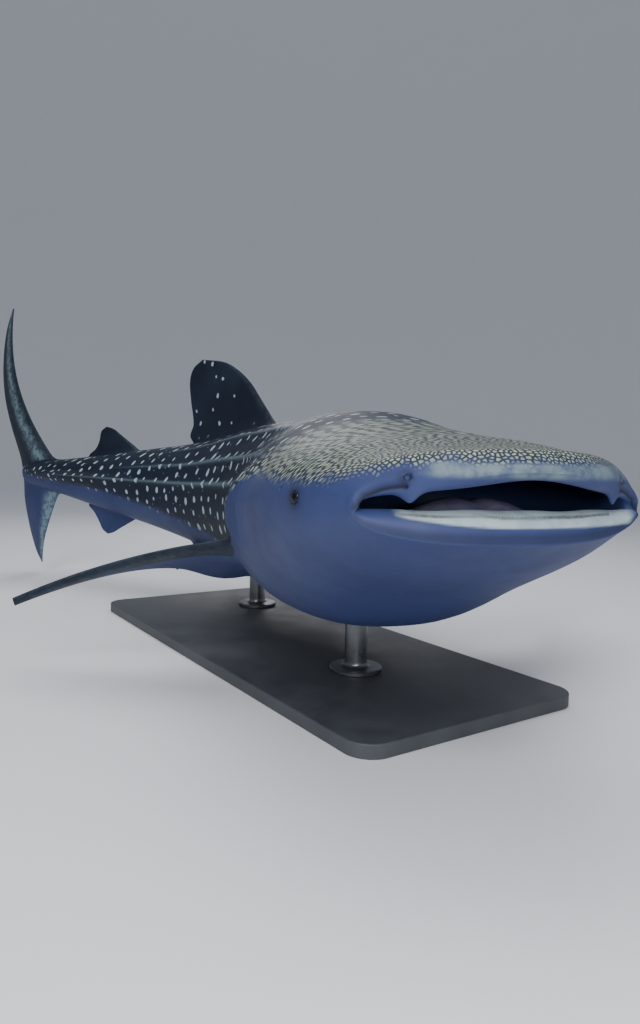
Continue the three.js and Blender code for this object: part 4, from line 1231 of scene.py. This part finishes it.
def set_floor(look):
    """Wide floor that rises far behind into a curved backdrop all round."""
    turn = 2 * np.pi * np.arange(96) / 96
    bend = np.linspace(0, np.pi / 2, 16)
    radius = np.concatenate([[4, 14], 22 + 12 * np.sin(bend), [34]])
    level = np.concatenate([[0, 0], 12 * (1 - np.cos(bend)), [30]])
    points = np.stack([radius[:, None] * np.cos(turn), radius[:, None] * np.sin(turn),
                       level[:, None] + 0 * turn], -1)
    rows, columns = points.shape[:2]
    k = np.arange(columns)
    j = np.arange(rows - 1)[:, None] * columns
    after = (k + 1) % columns
    quads = np.stack([j + k, j + columns + k, j + columns + after, j + after], -1).reshape(-1, 4)
    fan = np.stack([np.full(columns, rows * columns), k, after], 1)
    mesh = bpy.data.meshes.new("floor")
    mesh.from_pydata(points.reshape(-1, 3).tolist() + [[0, 0, 0]], [], quads.tolist() + fan.tolist())
    set_smooth(mesh, True)
    floor = add_object("floor", mesh)
    floor.data.materials.append(plain_material("floor_paint", look.floor, look.floor))


def lamp(name, place, target, size, power):
    """Square soft lamp that faces a target."""
    data = bpy.data.lights.new(name, "AREA")
    data.shape = "SQUARE"
    data.size = size
    data.energy = power
    made = add_object(name, data)
    away = np.array(place, float) - np.array(target, float)
    away /= np.linalg.norm(away)
    side = np.cross([0, 0, 1.0], away)
    side /= np.linalg.norm(side)
    rows = np.column_stack([side, np.cross(away, side), away, place])
    made.matrix_world = Matrix([*rows.tolist(), [0, 0, 0, 1]])


def set_lights(context, look):
    """Soft key over the camera's shoulder, a top light, a rim light and an even sky."""
    lamp("key", (5.5, -5.0, 5.0), (0.8, -0.3, 0.9), 4.0, look.key)
    lamp("top", (-1.0, 0.5, 7.5), (-0.6, 0.0, 0.9), 6.0, look.key * 0.65)
    lamp("rim", (-6.5, 3.5, 4.0), (-1.0, 0.0, 1.0), 3.0, look.key * 0.18)
    lamp("fill", (3.9, -1.7, 1.25), (1.9, -0.5, 0.96), 0.5, look.key * 0.06)
    world = bpy.data.worlds.new("studio")
    world.use_nodes = True
    world.node_tree.nodes["Background"].inputs[0].default_value = (0.80, 0.85, 0.95, 1)
    world.node_tree.nodes["Background"].inputs[1].default_value = 0.48
    context.scene.world = world


GROUPS = (SharkLook, StandLook, StudioLook)
STEPS = (WHALE_SHARK_OT_stage, WHALE_SHARK_OT_skin, WHALE_SHARK_OT_eyes, WHALE_SHARK_OT_mouth,
         WHALE_SHARK_OT_stand)
CLASSES = GROUPS + STEPS + (WHALE_SHARK_PT_panel,)


def register():
    for one in CLASSES:
        bpy.utils.register_class(one)
    bpy.types.Scene.shark_look = PointerProperty(type=SharkLook)
    bpy.types.Scene.stand_look = PointerProperty(type=StandLook)
    bpy.types.Scene.studio_look = PointerProperty(type=StudioLook)


def unregister():
    del bpy.types.Scene.studio_look
    del bpy.types.Scene.stand_look
    del bpy.types.Scene.shark_look
    for one in reversed(CLASSES):
        bpy.utils.unregister_class(one)


def main():
    register()
    bpy.ops.whale_shark.stage()
    bpy.ops.whale_shark.skin()
    bpy.ops.whale_shark.eyes()
    bpy.ops.whale_shark.mouth()
    bpy.ops.whale_shark.stand()


if __name__ == "__main__":
    main()
